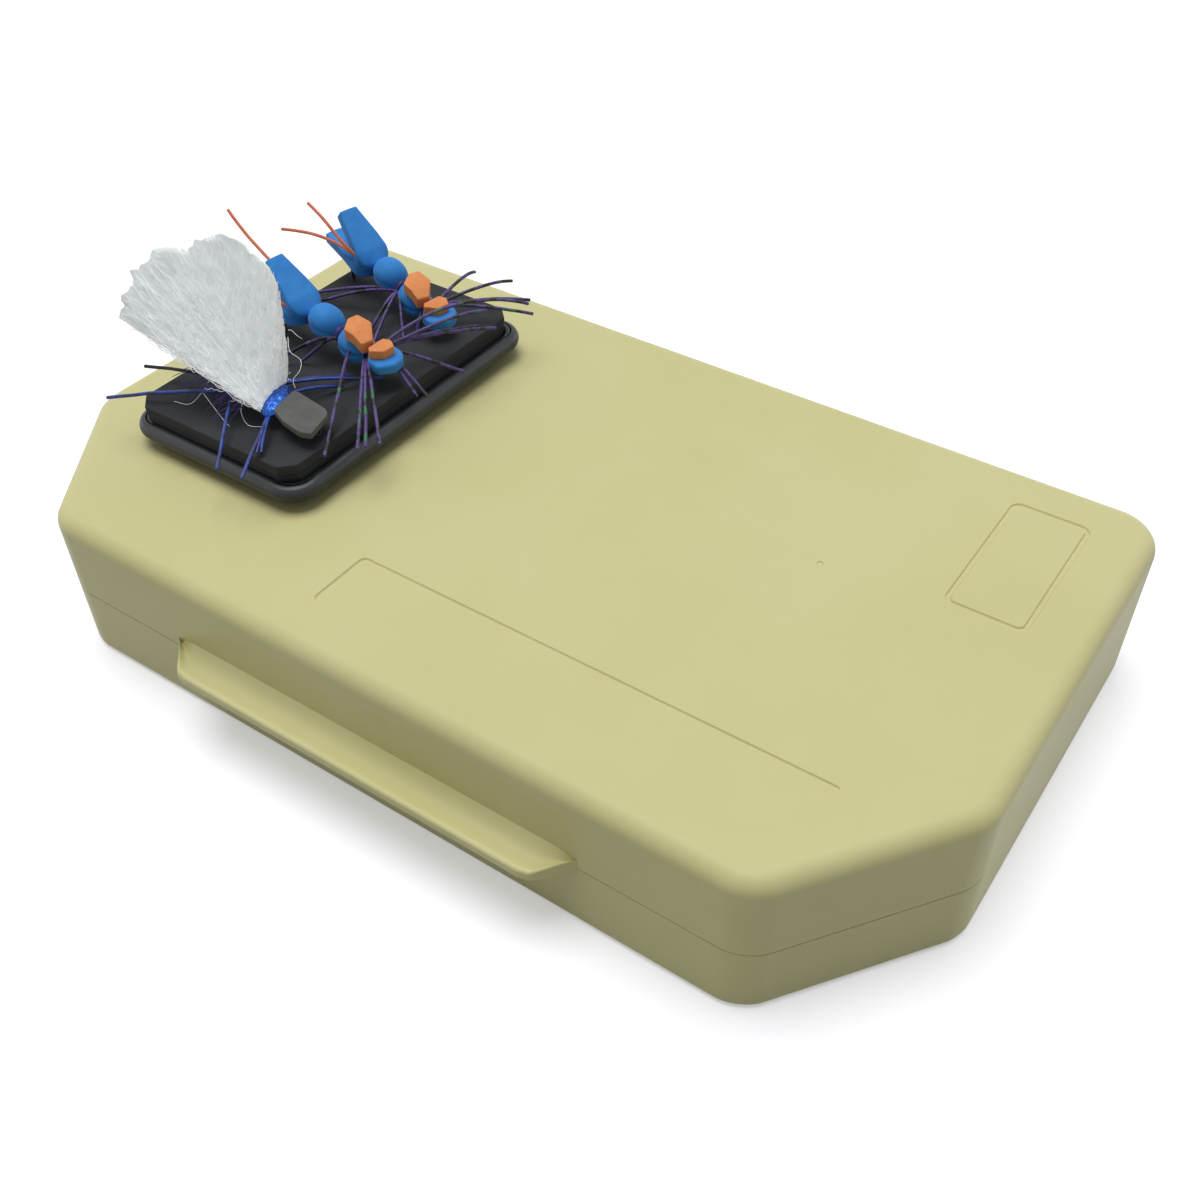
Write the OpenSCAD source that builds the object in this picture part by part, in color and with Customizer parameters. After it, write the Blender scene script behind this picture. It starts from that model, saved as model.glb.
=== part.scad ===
// Fly box: a clamshell case with cut front corners, foam inside both halves, and a
// magnetic foam caddy on the lid with three dry flies hooked into it.
// Millimetres. The origin is the centre of the case's footprint on the surface it stands on.
// +X runs along the front wall, +Y points to the hinges and +Z is up.

/* [Case] */
// Width of the case along its front wall
case_w = 185; // [176:1:196]
// Depth of the case from the front wall to the hinge wall
case_d = 108; // [102:1:114]
// Height of the closed case
case_h = 30.2; // [28.5:0.1:34]
// Height of the seam between base and lid
seam_z = 13.9; // [13:0.1:15.5]
// Length of each front corner cut along the front wall
cut_x = 22; // [18:0.5:25]
// Length of each front corner cut along the side wall
cut_y = 30; // [25:0.5:34]
// Radius of the edges at both ends of a corner cut
cut_r = 8.3; // [6:0.1:10]
// Radius of the two rear corners
rear_r = 8.6; // [6:0.1:11]
// Radius of the lid's top edge
lid_edge_r = 3.2; // [2:0.1:4]
// Radius of the base's bottom edge
base_edge_r = 1.4; // [0.8:0.1:2]
// Wall thickness of both shells
wall = 2.2; // [1.9:0.1:2.6]
// Floor thickness of the base
floor_t = 2; // [1.6:0.1:2.4]
// Top thickness of the lid
top_t = 2.2; // [1.8:0.1:2.6]
// Open gap along the seam
seam_gap = 0.2; // [0.1:0.05:0.4]
// Height of the base's upstanding tongue
tongue_h = 1.5; // [1:0.1:2]
// Thickness of the tongue
tongue_t = 0.9; // [0.7:0.1:1]
// Clearance around the tongue
tongue_clear = 0.3; // [0.2:0.05:0.4]

/* [Lift lip] */
// Width of the lift lip where it leaves the front wall
lip_w = 85; // [70:1:95]
// Reach of the lift lip in front of the wall
lip_reach = 6; // [5:0.1:7.5]
// Length of each slanted end of the lift lip
lip_slant = 5.5; // [4:0.1:7]
// Thickness of the lift lip's outer edge
lip_t = 2.1; // [1.8:0.1:2.4]
// Depth of the scoop in the lip's upper face
lip_scoop = 0.9; // [0.5:0.1:1.2]

/* [Lid marks] */
// Distance of the label panel from the left side wall
panel_left = 74.9; // [72:0.1:80]
// Distance of the label panel's back right corner from the right side wall
panel_right = 20; // [19.5:0.1:24]
// Distance of the label panel from the front wall
panel_front = 10; // [9:0.1:12]
// Depth of the label panel from front to back
panel_d = 12.8; // [11:0.2:14]
// Width of the badge frame
badge_w = 14.4; // [12:0.2:16]
// Length of the badge frame
badge_l = 31.3; // [28:0.2:34]
// Distance of the badge frame from the right side wall
badge_side = 10.6; // [9:0.2:14]
// Distance of the badge frame from the hinge wall
badge_back = 9.9; // [8:0.2:14]
// Width of the badge frame's groove
groove_w = 0.7; // [0.5:0.1:1]
// Depth of the marks in the lid's top
mark_depth = 0.3; // [0.2:0.05:0.5]

/* [Hinges] */
// Distance of each hinge's middle from the nearer side wall
hinge_side = 40.5; // [32:0.5:48]
// Outer radius of a hinge knuckle
knuckle_r = 2.4; // [2.1:0.1:2.6]
// Length of the lid's knuckle
lid_knuckle_l = 14; // [10:1:18]
// Length of each base knuckle
base_knuckle_l = 8; // [6:1:10]
// Gap between two knuckles
knuckle_gap = 0.3; // [0.2:0.05:0.5]
// Gap between a knuckle and the other shell's wall
knuckle_clear = 0.3; // [0.2:0.05:0.5]
// Radius of a hinge pin
pin_r = 1; // [0.8:0.05:1.1]
// Radial clearance of the pin in the lid's knuckle
pin_clear = 0.06; // [0.03:0.01:0.09]

/* [Closing magnets] */
// Radius of a closing magnet
magnet_r = 4; // [3:0.1:4.3]
// Thickness of a closing magnet
magnet_t = 3; // [2:0.1:4]
// Wall around a closing magnet
magnet_wall = 1.2; // [1:0.1:1.4]

/* [Foam liners] */
// Thickness of a liner's backing sheet
liner_sheet = 3; // [2:0.1:3.4]
// Height of a liner's ridges
ridge_h = 3; // [2:0.1:3.4]
// Distance between two ridges
ridge_pitch = 9.5; // [8:0.1:11]
// Width of a ridge
ridge_w = 6; // [5:0.1:6.8]
// Width of the slit along a ridge
slit_w = 0.6; // [0.4:0.1:0.9]
// Clearance between a liner and the walls
liner_clear = 0.4; // [0.3:0.05:0.8]

/* [Caddy] */
// Distance of the caddy's rim from the left side wall
caddy_side = 16.95; // [15.8:0.05:18.2]
// Distance of the caddy's rim from the hinge wall
caddy_back = 17.6; // [15.4:0.1:20.4]
// Width over the caddy's rim
rim_w = 42.7; // [41.5:0.1:45]
// Length over the caddy's rim
rim_l = 67.2; // [66:0.1:70]
// Outer corner radius of the caddy's rim
rim_corner = 5.6; // [4.5:0.1:7]
// Radius of the rim's rounded bead
bead_r = 1.6; // [1.4:0.05:1.75]
// Thickness of the tray's floor
tray_t = 1.2; // [1:0.1:1.4]
// Distance of the foot's long sides from the rim's outside
foot_in = 3.35; // [2.4:0.05:5.4]
// Distance of the foot's ends from the rim's outside
foot_end_in = 12.1; // [8.6:0.1:14.6]
// Thickness of the foot
foot_t = 1.9; // [1.6:0.1:2.4]
// Radius of a caddy magnet
caddy_magnet_r = 4; // [3:0.1:5]
// Thickness of a caddy magnet
caddy_magnet_t = 1.3; // [1:0.1:1.5]
// Thickness of the steel keeper plate under the lid's top
keeper_t = 0.8; // [0.5:0.1:1]
// Distance of the foam block's long sides from the rim's outside
block_in = 2.75; // [2.35:0.05:3.35]
// Distance of the foam block's ends from the rim's outside
block_end_in = 2.1; // [2:0.05:2.85]
// Corner cut of the foam block
block_cut = 2.6; // [2:0.1:4]
// Thickness of the lower foam layer
lower_t = 3; // [2.6:0.1:3.2]
// Thickness of the upper foam layer
upper_t = 2.4; // [2.2:0.1:2.8]
// Undercut of the upper foam layer's sides
undercut = 1.4; // [1.2:0.1:1.8]

/* [Flies] */
// Radius of the hook wire
wire_r = 0.4; // [0.35:0.01:0.45]
// Radius of the hook's bend
bend_r = 4.6; // [4.3:0.1:4.9]
// Radius of a rubber leg
leg_r = 0.33; // [0.28:0.01:0.36]
// Radius of the foam where the thread binds it
waist_r = 1.2; // [1.1:0.05:1.3]
// Thickness of the foam sheet in a fly
sheet_t = 2; // [1.8:0.1:2.2]
// Height of the foam flies' hook shank above the foam block
shank_h = 7.3; // [7:0.1:7.6]
// Height of the winged fly's hook shank above the foam block
wing_shank_h = 3.9; // [3.8:0.1:4.2]

/* [Hidden] */

$fn = 64;
hull_fn = 32;
eps = 0.01;

plastic = [0.78, 0.76, 0.57];
foam_black = [0.14, 0.14, 0.15];
tray_black = [0.19, 0.20, 0.23];
steel = [0.70, 0.71, 0.73];
hook_black = [0.08, 0.08, 0.09];
fly_blue = [0.19, 0.50, 0.80];
fly_orange = [0.88, 0.56, 0.32];
leg_purple = [0.30, 0.23, 0.42];
leg_blue = [0.16, 0.22, 0.62];

// Places and sizes that follow from the sizes above
panel_x0 = panel_left - case_w / 2;
panel_x1 = case_w / 2 - panel_right;
panel_y0 = panel_front - case_d / 2;
hinge_x = case_w / 2 - hinge_side;
caddy_x = caddy_side + rim_w / 2 - case_w / 2;
caddy_y = case_d / 2 - caddy_back - rim_l / 2;
foot_w = rim_w - 2 * foot_in;
foot_l = rim_l - 2 * foot_end_in;
block_w = rim_w - 2 * block_in;
block_l = rim_l - 2 * block_end_in;

// Heights that follow from the sizes above
tray_z = case_h + foot_t;
lower_z = tray_z + tray_t;
upper_z = lower_z + lower_t;
block_z = upper_z + upper_t;
bead_z = tray_z + bead_r + 0.05;

// The case outline: corners in order, anticlockwise, each with its radius
corners = [
  [case_w / 2 - cut_x, -case_d / 2],
  [case_w / 2, -case_d / 2 + cut_y],
  [case_w / 2, case_d / 2],
  [-case_w / 2, case_d / 2],
  [-case_w / 2, -case_d / 2 + cut_y],
  [-case_w / 2 + cut_x, -case_d / 2]
];
corner_rs = [cut_r, cut_r, rear_r, rear_r, cut_r, cut_r];

function unit(v) = v / norm(v);
function corner(i) = corners[(i + 6) % 6];
function edge_normal(i) =
  let (e = unit(corner(i + 1) - corner(i))) [e[1], -e[0]];
function corner_centre(i) =
  let (
    a = unit(corner(i - 1) - corner(i)),
    b = unit(corner(i + 1) - corner(i)),
    h = unit(a + b),
    s = abs(a[0] * h[1] - a[1] * h[0])
  ) corner(i) + h * corner_rs[i] / s;

// The case outline moved inwards by t, its corners rounded in corner_steps steps
corner_steps = 8;
module case_outline(t) {
  polygon([
    for (i = [0:5])
      let (n0 = edge_normal(i - 1), turn = acos(n0 * edge_normal(i)), a0 = atan2(n0[1], n0[0]))
        for (k = [0:corner_steps]) let (a = a0 + turn * k / corner_steps)
          corner_centre(i) + (corner_rs[i] - t) * [cos(a), sin(a)]
  ]);
}

module case_prism(t, z0, z1) {
  translate([0, 0, z0]) linear_extrude(z1 - z0) case_outline(t);
}

// One corner of the outer skin: its lower edge is rounded by r0 and its upper one by r1,
// or sharp where the radius is 0
module corner_column(r, z0, z1, r0, r1) {
  steps = 6;
  lower = r0 == 0 ? [[r, z0]] : [for (k = [0:steps]) let (a = 90 * k / steps)
    [r - r0 + r0 * sin(a), z0 + r0 - r0 * cos(a)]];
  upper = r1 == 0 ? [[r, z1]] : [for (k = [0:steps]) let (a = 90 * k / steps)
    [r - r1 + r1 * cos(a), z1 - r1 + r1 * sin(a)]];
  rotate_extrude($fn = hull_fn) polygon(concat([[0, z0]], lower, upper, [[0, z1]]));
}

module case_skin(z0, z1, r0, r1) {
  hull() for (i = [0:5]) translate(corner_centre(i))
    corner_column(corner_rs[i], z0, z1, r0, r1);
}

// The closing magnets stand behind the middle of each corner cut
boss_r = magnet_r + magnet_wall;
cut_len = norm([cut_x, cut_y]);
boss_in = wall + boss_r - 0.8;
boss_pos = [
  case_w / 2 - cut_x / 2 - boss_in * cut_y / cut_len,
  -case_d / 2 + cut_y / 2 + boss_in * cut_x / cut_len
];

module both_bosses() {
  for (side = [-1, 1]) translate([side * boss_pos[0], boss_pos[1], 0]) children();
}

// Hinges: axis along X, just behind the hinge wall at the seam
axis_y = case_d / 2 + knuckle_r + knuckle_clear;
axis_z = seam_z + seam_gap / 2;
base_knuckle_x = lid_knuckle_l / 2 + knuckle_gap + base_knuckle_l / 2;
pin_l = lid_knuckle_l + 2 * knuckle_gap + 2 * base_knuckle_l;

module along_x(length, r) {
  rotate([0, 90, 0]) cylinder(h = length, r = r, center = true);
}

module both_hinges() {
  for (side = [-1, 1]) translate([side * hinge_x, axis_y, axis_z]) children();
}

// A knuckle and the web that ties it to its shell: dir is -1 below the seam, 1 above
module knuckle(length, dir) {
  along_x(length, knuckle_r);
  web_h = knuckle_r - seam_gap / 2;
  web_y = knuckle_r + knuckle_clear + wall / 2;
  web_z = dir > 0 ? seam_gap / 2 : -knuckle_r;
  translate([-length / 2, -web_y, web_z]) cube([length, web_y, web_h]);
}

module base_shell() {
  color(plastic) difference() {
    union() {
      difference() {
        union() {
          case_skin(0, seam_z, base_edge_r, 0);
          case_prism(wall - tongue_t, seam_z - 1, seam_z + tongue_h);
        }
        case_prism(wall, floor_t, seam_z + tongue_h + 1);
      }
      intersection() {
        both_bosses() cylinder(h = seam_z, r = boss_r);
        case_prism(wall / 2, 0.5, seam_z);
      }
      both_hinges() for (side = [-1, 1])
        translate([side * base_knuckle_x, 0, 0]) knuckle(base_knuckle_l, -1);
    }
    both_bosses() translate([0, 0, seam_z - magnet_t]) cylinder(h = magnet_t + 3, r = magnet_r);
    both_hinges() along_x(pin_l + 2, pin_r);
  }
}

// Profile of the lift lip: x is the reach from the wall, y the height above the lid's rim
lip_drop = 0.9;
lip_top = lip_t - lip_drop;
lip_root = 2.6;
function lip_profile() = concat(
  [[-wall / 2, 0], [tongue_clear, 0], [tongue_clear + 0.9, -lip_drop + 0.2]],
  [for (a = [270:30:360]) [lip_reach - 0.6 + 0.6 * cos(a), -lip_drop + 0.6 + 0.6 * sin(a)]],
  [for (a = [0:30:120]) [lip_reach - 0.6 + 0.6 * cos(a), lip_top - 0.6 + 0.6 * sin(a)]],
  [for (k = [1:5]) let (f = k / 6)
    [(lip_reach - 1) * (1 - f), lip_top - 0.1 + (lip_root - lip_top) * f * f
      - lip_scoop * sin(180 * f)]],
  [[0, lip_root], [-wall / 2, lip_root]]
);

module lift_lip() {
  intersection() {
    translate([lip_w / 2 + 1, -case_d / 2, seam_z + seam_gap])
      rotate([90, 0, -90]) linear_extrude(lip_w + 2) polygon(lip_profile());
    translate([0, 0, seam_z - 5]) linear_extrude(15) polygon([
      [-lip_w / 2, -case_d / 2 + wall],
      [-lip_w / 2, -case_d / 2],
      [-lip_w / 2 + lip_slant - 1, -case_d / 2 - lip_reach + 1],
      [-lip_w / 2 + lip_slant + 0.6, -case_d / 2 - lip_reach],
      [lip_w / 2 - lip_slant - 0.6, -case_d / 2 - lip_reach],
      [lip_w / 2 - lip_slant + 1, -case_d / 2 - lip_reach + 1],
      [lip_w / 2, -case_d / 2],
      [lip_w / 2, -case_d / 2 + wall]
    ]);
  }
}

// The label panel's right end runs parallel to the corner cut
module label_panel() {
  slant = panel_d * cut_x / cut_y;
  translate([0, 0, case_h - mark_depth]) linear_extrude(1) polygon([
    [panel_x0, panel_y0 + 1.5],
    [panel_x0 + 1.5, panel_y0],
    [panel_x1 - slant - 1, panel_y0],
    [panel_x1 - slant + 0.6, panel_y0 + 0.8],
    [panel_x1 - 0.5, panel_y0 + panel_d - 1.4],
    [panel_x1 - 1.6, panel_y0 + panel_d],
    [panel_x0 + 1.5, panel_y0 + panel_d],
    [panel_x0, panel_y0 + panel_d - 1.5]
  ]);
}

// A rectangle with true round corners, centred
module round_rect(w, l, r) {
  square([w - 2 * r, l], center = true);
  square([w, l - 2 * r], center = true);
  for (x = [-1, 1], y = [-1, 1]) translate([x * (w / 2 - r), y * (l / 2 - r)]) circle(r);
}

module badge_frame() {
  translate([
    case_w / 2 - badge_side - badge_w / 2,
    case_d / 2 - badge_back - badge_l / 2,
    case_h - mark_depth
  ]) linear_extrude(1) difference() {
    round_rect(badge_w, badge_l, 2);
    round_rect(badge_w - 2 * groove_w, badge_l - 2 * groove_w, 2 - groove_w);
  }
}

module lid_shell() {
  rim_z = seam_z + seam_gap;
  color(plastic) difference() {
    union() {
      difference() {
        case_skin(rim_z, case_h, 0, lid_edge_r);
        case_prism(wall, rim_z - 1, case_h - top_t);
        case_prism(wall - tongue_t - tongue_clear, rim_z - 1, seam_z + tongue_h + tongue_clear);
      }
      intersection() {
        both_bosses() translate([0, 0, rim_z]) cylinder(h = case_h - rim_z - 1, r = boss_r);
        case_prism(wall - tongue_t / 2, seam_z + tongue_h + 2 * tongue_clear, case_h - 1);
      }
      intersection() {
        both_bosses() translate([0, 0, rim_z]) cylinder(h = 4, r = boss_r);
        case_prism(wall + tongue_clear, rim_z, rim_z + 4);
      }
      lift_lip();
      both_hinges() knuckle(lid_knuckle_l, 1);
    }
    both_bosses() translate([0, 0, rim_z - 1]) cylinder(h = magnet_t + 1, r = magnet_r);
    both_hinges() along_x(lid_knuckle_l + 2, pin_r + pin_clear);
    label_panel();
    badge_frame();
  }
}

module hinge_pins() {
  color(steel) both_hinges() along_x(pin_l, pin_r);
}

module base_magnets() {
  color(steel) both_bosses() translate([0, 0, seam_z - magnet_t]) cylinder(h = magnet_t, r = magnet_r);
}

module lid_magnets() {
  color(steel) both_bosses() translate([0, 0, seam_z + seam_gap]) cylinder(h = magnet_t, r = magnet_r);
}

// Section of a liner across its ridges: a sheet with slit ridges on it
module liner_section(span) {
  square([span, liner_sheet]);
  count = floor((span - ridge_w) / ridge_pitch);
  first = (span - count * ridge_pitch) / 2;
  for (k = [0:count]) translate([first + k * ridge_pitch, liner_sheet - eps]) difference() {
    polygon([
      [-ridge_w / 2, 0],
      [ridge_w / 2, 0],
      [ridge_w / 2 - 0.6, ridge_h - 0.6],
      [ridge_w / 2 - 1.4, ridge_h],
      [-ridge_w / 2 + 1.4, ridge_h],
      [-ridge_w / 2 + 0.6, ridge_h - 0.6]
    ]);
    translate([-slit_w / 2, 0.6]) square([slit_w, ridge_h]);
  }
}

// A liner lying on z = 0, ridges up, cut clear of the walls and the magnet bosses
module liner() {
  t = wall + liner_clear;
  span = case_d - 2 * t;
  difference() {
    intersection() {
      case_prism(t, 0, liner_sheet + ridge_h + 1);
      translate([-case_w / 2, -span / 2, 0]) rotate([90, 0, 90]) linear_extrude(case_w)
        liner_section(span);
    }
    both_bosses() translate([0, 0, -1])
      cylinder(h = liner_sheet + ridge_h + 3, r = boss_r + liner_clear);
  }
}

module base_liner() {
  color(foam_black) translate([0, 0, floor_t]) liner();
}

keeper_w = foot_w - 2;
keeper_l = foot_l - 2;

module lid_liner() {
  color(foam_black) difference() {
    translate([0, 0, case_h - top_t]) mirror([0, 0, 1]) liner();
    translate([caddy_x, caddy_y, case_h - top_t - keeper_t]) linear_extrude(keeper_t + 1)
      round_rect(keeper_w + 2 * liner_clear, keeper_l + 2 * liner_clear, 2);
  }
}

module keeper_plate() {
  color(steel) translate([caddy_x, caddy_y, case_h - top_t - keeper_t])
    linear_extrude(keeper_t) round_rect(keeper_w, keeper_l, 2);
}

module at_caddy(z) {
  translate([caddy_x, caddy_y, z]) children();
}

// A round bead that runs round a rectangle of middle width w and length l
module rim_bead(w, l, r) {
  for (side = [-1, 1]) {
    translate([side * w / 2, 0, 0]) rotate([90, 0, 0])
      cylinder(h = l - 2 * r, r = bead_r, center = true);
    translate([0, side * l / 2, 0]) rotate([0, 90, 0])
      cylinder(h = w - 2 * r, r = bead_r, center = true);
  }
  for (x = [-1, 1], y = [-1, 1]) translate([x * (w / 2 - r), y * (l / 2 - r), 0])
    rotate([0, 0, x > 0 ? (y > 0 ? 0 : 270) : (y > 0 ? 90 : 180)])
      rotate_extrude(angle = 90) translate([r, 0]) circle(bead_r, $fn = 32);
}

module caddy_tray() {
  mid_w = rim_w - 2 * bead_r;
  mid_l = rim_l - 2 * bead_r;
  mid_r = rim_corner - bead_r;
  color(tray_black) at_caddy(0) {
    translate([0, 0, tray_z]) linear_extrude(tray_t) round_rect(mid_w, mid_l, mid_r);
    translate([0, 0, bead_z]) rim_bead(mid_w, mid_l, mid_r);
  }
}

caddy_magnet_x = foot_w / 4;
caddy_magnet_y = foot_l / 4;

module four_magnets() {
  for (x = [-1, 1], y = [-1, 1])
    translate([x * caddy_magnet_x, y * caddy_magnet_y, 0])
      cylinder(h = caddy_magnet_t, r = caddy_magnet_r);
}

module caddy_foot() {
  color(foam_black) at_caddy(case_h) difference() {
    linear_extrude(foot_t) round_rect(foot_w, foot_l, 3);
    translate([0, 0, foot_t - caddy_magnet_t]) four_magnets();
  }
}

module caddy_magnets() {
  color(steel) at_caddy(case_h + foot_t - caddy_magnet_t) four_magnets();
}

// A rectangle with cut corners, moved inwards by t
module cut_rect(t) {
  w = block_w / 2 - t;
  l = block_l / 2 - t;
  polygon([
    [w - block_cut, -l], [w, -l + block_cut], [w, l - block_cut], [w - block_cut, l],
    [-w + block_cut, l], [-w, l - block_cut], [-w, -l + block_cut], [-w + block_cut, -l]
  ]);
}

module caddy_lower_foam() {
  color(foam_black) at_caddy(lower_z) linear_extrude(lower_t) cut_rect(undercut);
}

module caddy_upper_foam() {
  color(foam_black) at_caddy(upper_z) hull() {
    linear_extrude(0.1) cut_rect(undercut);
    translate([0, 0, upper_t - 0.4]) linear_extrude(0.2) cut_rect(0);
    translate([0, 0, upper_t - 0.1]) linear_extrude(0.1) cut_rect(0.3);
  }
}

// A fly's own frame: s runs along the shank from the bend to the eye, h is above the shank.
// Each fly is [x, y, turn, tilt, shank height above the foam block]
middle_fly = [caddy_x - 14.8, caddy_y + 1.5, -5.5, 4.2, shank_h];
rear_fly = [caddy_x - 16.8, caddy_y + 24, -13, 4.2, shank_h];
front_fly = [caddy_x - 14.8, caddy_y - 17.3, -8, 3, wing_shank_h];

module at_fly(fly) {
  translate([fly[0], fly[1], block_z + fly[4]]) rotate([0, 0, fly[2]]) rotate([0, fly[3], 0])
    children();
}

// The place in the case's frame of a point in a fly's frame
function fly_point(fly, p) =
  let (
    x = p[0] * cos(fly[3]) + p[2] * sin(fly[3]),
    z = -p[0] * sin(fly[3]) + p[2] * cos(fly[3])
  ) [
    fly[0] + x * cos(fly[2]) - p[1] * sin(fly[2]),
    fly[1] + x * sin(fly[2]) + p[1] * cos(fly[2]),
    block_z + fly[4] + z
  ];

// A hook: shank, round bend, point with its barb, and the eye
module hook(radius, shank_end) {
  bend_s = radius + 0.9;
  eye_r = 0.9;
  color(hook_black) {
    translate([bend_s, 0, 0]) rotate([0, 90, 0]) cylinder(h = shank_end - bend_s, r = wire_r);
    translate([bend_s, 0, -radius]) rotate([90, 0, 0]) rotate([0, 0, 90])
      rotate_extrude(angle = 180) translate([radius, 0]) circle(wire_r, $fn = 24);
    translate([bend_s, 0, -2 * radius]) rotate([0, 90, 0]) cylinder(h = 3.4, r = wire_r);
    translate([bend_s + 3.4, 0, -2 * radius]) rotate([0, 90, 0])
      cylinder(h = 2.2, r1 = wire_r, r2 = 0.08);
    translate([shank_end + eye_r, 0, 0]) rotate_extrude()
      translate([eye_r, 0]) circle(0.3, $fn = 24);
  }
}

// A foam segment squeezed between two bindings, round about the shank's direction
module barrel(s0, s1, h, r) {
  half = (s1 - s0) / 2;
  steps = 8;
  translate([(s0 + s1) / 2, 0, h]) rotate([0, 90, 0]) rotate_extrude() polygon(concat(
    [for (k = [0:steps]) let (a = -90 + 180 * k / steps)
      [0.5 + (r - 0.5) * cos(a), half * sin(a)]],
    [[0, half], [0, -half]]
  ));
}

// A tail flap of foam sheet: it leaves its binding at s0 and rises towards the tail
module flap(s0, h0, length, rise, root_w, tip_w) {
  translate([s0, 0, h0]) rotate([0, rise, 0]) mirror([1, 0, 0])
    translate([0, 0, -sheet_t / 2]) linear_extrude(sheet_t) polygon([
      [0, -waist_r], [0.12 * length, -0.36 * root_w], [0.3 * length, -0.48 * root_w],
      [0.45 * length, -0.5 * root_w], [length - 0.5, -0.5 * tip_w], [length, -0.5 * tip_w + 0.5],
      [length, 0.5 * tip_w - 0.5], [length - 0.5, 0.5 * tip_w], [0.45 * length, 0.5 * root_w],
      [0.3 * length, 0.48 * root_w], [0.12 * length, 0.36 * root_w], [0, waist_r]
    ]);
}

// Bindings of a foam fly, from tail to head
waists = [10.6, 18.4, 26.5];
binding_l = 1.2;
head_s = 34.2;
head_half_w = 3.8;

// The upper foam strip: tail flap, ball, thorax and head, bound down in between
module foam_body() {
  color(fly_blue) difference() {
    union() {
      translate([waists[0] - 0.6, 0, 0]) rotate([0, 90, 0])
        cylinder(h = waists[2] - waists[0] + 1.4, r = waist_r);
      flap(waists[0] + 0.4, 1, 12.6, 34, 7, 3.9);
      barrel(waists[0] + 0.6, waists[1] - 0.6, 1.4, 3.2);
      barrel(waists[1] + 0.6, waists[2] - 0.6, -0.4, 2.7);
      translate([0, 0, -1]) linear_extrude(2.1) polygon([
        [waists[2] + 0.6, -1], [waists[2] + 2.4, -0.8 * head_half_w],
        [waists[2] + 4.9, -head_half_w], [head_s - 1.6, -0.8 * head_half_w],
        [head_s - 0.3, -0.45 * head_half_w], [head_s, 0],
        [head_s - 0.3, 0.45 * head_half_w], [head_s - 1.6, 0.8 * head_half_w],
        [waists[2] + 4.9, head_half_w], [waists[2] + 2.4, 0.8 * head_half_w],
        [waists[2] + 0.6, 1]
      ]);
    }
    rotate([0, 90, 0]) cylinder(h = 60, r = wire_r);
  }
}

module lower_flap() {
  color(fly_blue) difference() {
    flap(waists[0] - 0.7, -0.25, 14.4, 3, 6.6, 4.4);
    rotate([0, 90, 0]) cylinder(h = 60, r = wire_r + 0.02);
    foam_body();
  }
}

module bindings(places) {
  color(leg_purple) for (s = places) translate([s - binding_l / 2, 0, 0]) rotate([0, 90, 0])
    difference() {
      cylinder(h = binding_l, r = waist_r + 0.35);
      translate([0, 0, -1]) cylinder(h = binding_l + 2, r = waist_r);
    }
}

// One lobe of the marker: a hexagon with bevelled upper edges
module lobe(s0, s1, half_w, h, thick) {
  mid = (s0 + s1) / 2;
  hull() {
    translate([0, 0, h]) linear_extrude(thick * 0.6) polygon([
      [s0, -0.4 * half_w], [mid, -half_w], [s1, -0.5 * half_w],
      [s1, 0.5 * half_w], [mid, half_w], [s0, 0.4 * half_w]
    ]);
    translate([0, 0, h]) linear_extrude(thick) polygon([
      [s0 + 0.6, -0.3 * half_w], [mid, -0.75 * half_w], [s1 - 0.5, -0.4 * half_w],
      [s1 - 0.5, 0.4 * half_w], [mid, 0.75 * half_w], [s0 + 0.6, 0.3 * half_w]
    ]);
  }
}

marker_h = 2.35;

module marker() {
  color(fly_orange) {
    lobe(waists[1] + 1.3, waists[2] - 0.1, 3.2, marker_h, 2.1);
    translate([waists[2] - 0.8, -0.8, marker_h - 0.75]) cube([1.8, 1.6, 1.2]);
    lobe(waists[2] + 0.3, waists[2] + 5.4, 2.9, 1.15, 1.9);
  }
}

// A thin round strand along a smooth curve through four control points
strand_rings = 7;
strand_sides = 6;

function bezier(c, t) =
  pow(1 - t, 3) * c[0] + 3 * t * pow(1 - t, 2) * c[1]
  + 3 * t * t * (1 - t) * c[2] + pow(t, 3) * c[3];
function bezier_way(c, t) = unit(
  3 * pow(1 - t, 2) * (c[1] - c[0]) + 6 * t * (1 - t) * (c[2] - c[1]) + 3 * t * t * (c[3] - c[2])
);

module strand(c, r) {
  ring = function (t)
    let (
      way = bezier_way(c, t),
      side = unit(cross(way, [0, 0, 1])),
      up = cross(side, way),
      mid = bezier(c, t)
    ) [for (k = [0:strand_sides - 1]) let (a = 360 * k / strand_sides)
      mid + r * (cos(a) * side + sin(a) * up)];
  n = strand_sides;
  polyhedron(
    points = [for (i = [0:strand_rings - 1]) each ring(i / (strand_rings - 1))],
    faces = concat(
      [for (k = [1:n - 2]) [0, k + 1, k]],
      [for (i = [0:strand_rings - 2], k = [0:n - 1]) let (a = i * n + k, b = i * n + (k + 1) % n)
        each [[a, b + n, a + n], [a, b, b + n]]],
      [for (k = [1:n - 2]) let (z = (strand_rings - 1) * n) [z, z + k, z + k + 1]]
    )
  );
}

// A leg from a point on a fly to its tip, lifted in its first half by arch
function leg_curve(root, tip, arch) =
  let (flat = [tip[0] - root[0], tip[1] - root[1], 0]) [
    root,
    root + 0.35 * flat + [0, 0, arch],
    [root[0] + 0.75 * flat[0], root[1] + 0.75 * flat[1], tip[2] + 0.6 * arch + 0.8],
    tip
  ];

// Each leg is [place along the shank, side, tip x, tip y, tip height above the foam block, arch],
// with the tips measured from the caddy's middle
module legs(fly, list, dye) {
  color(dye) for (leg = list) {
    root = fly_point(fly, [leg[0], leg[1] * (waist_r + 0.2), -0.1]);
    tip = [caddy_x + leg[2], caddy_y + leg[3], block_z + leg[4]];
    strand(leg_curve(root, tip, leg[5]), leg_r);
  }
}

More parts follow.
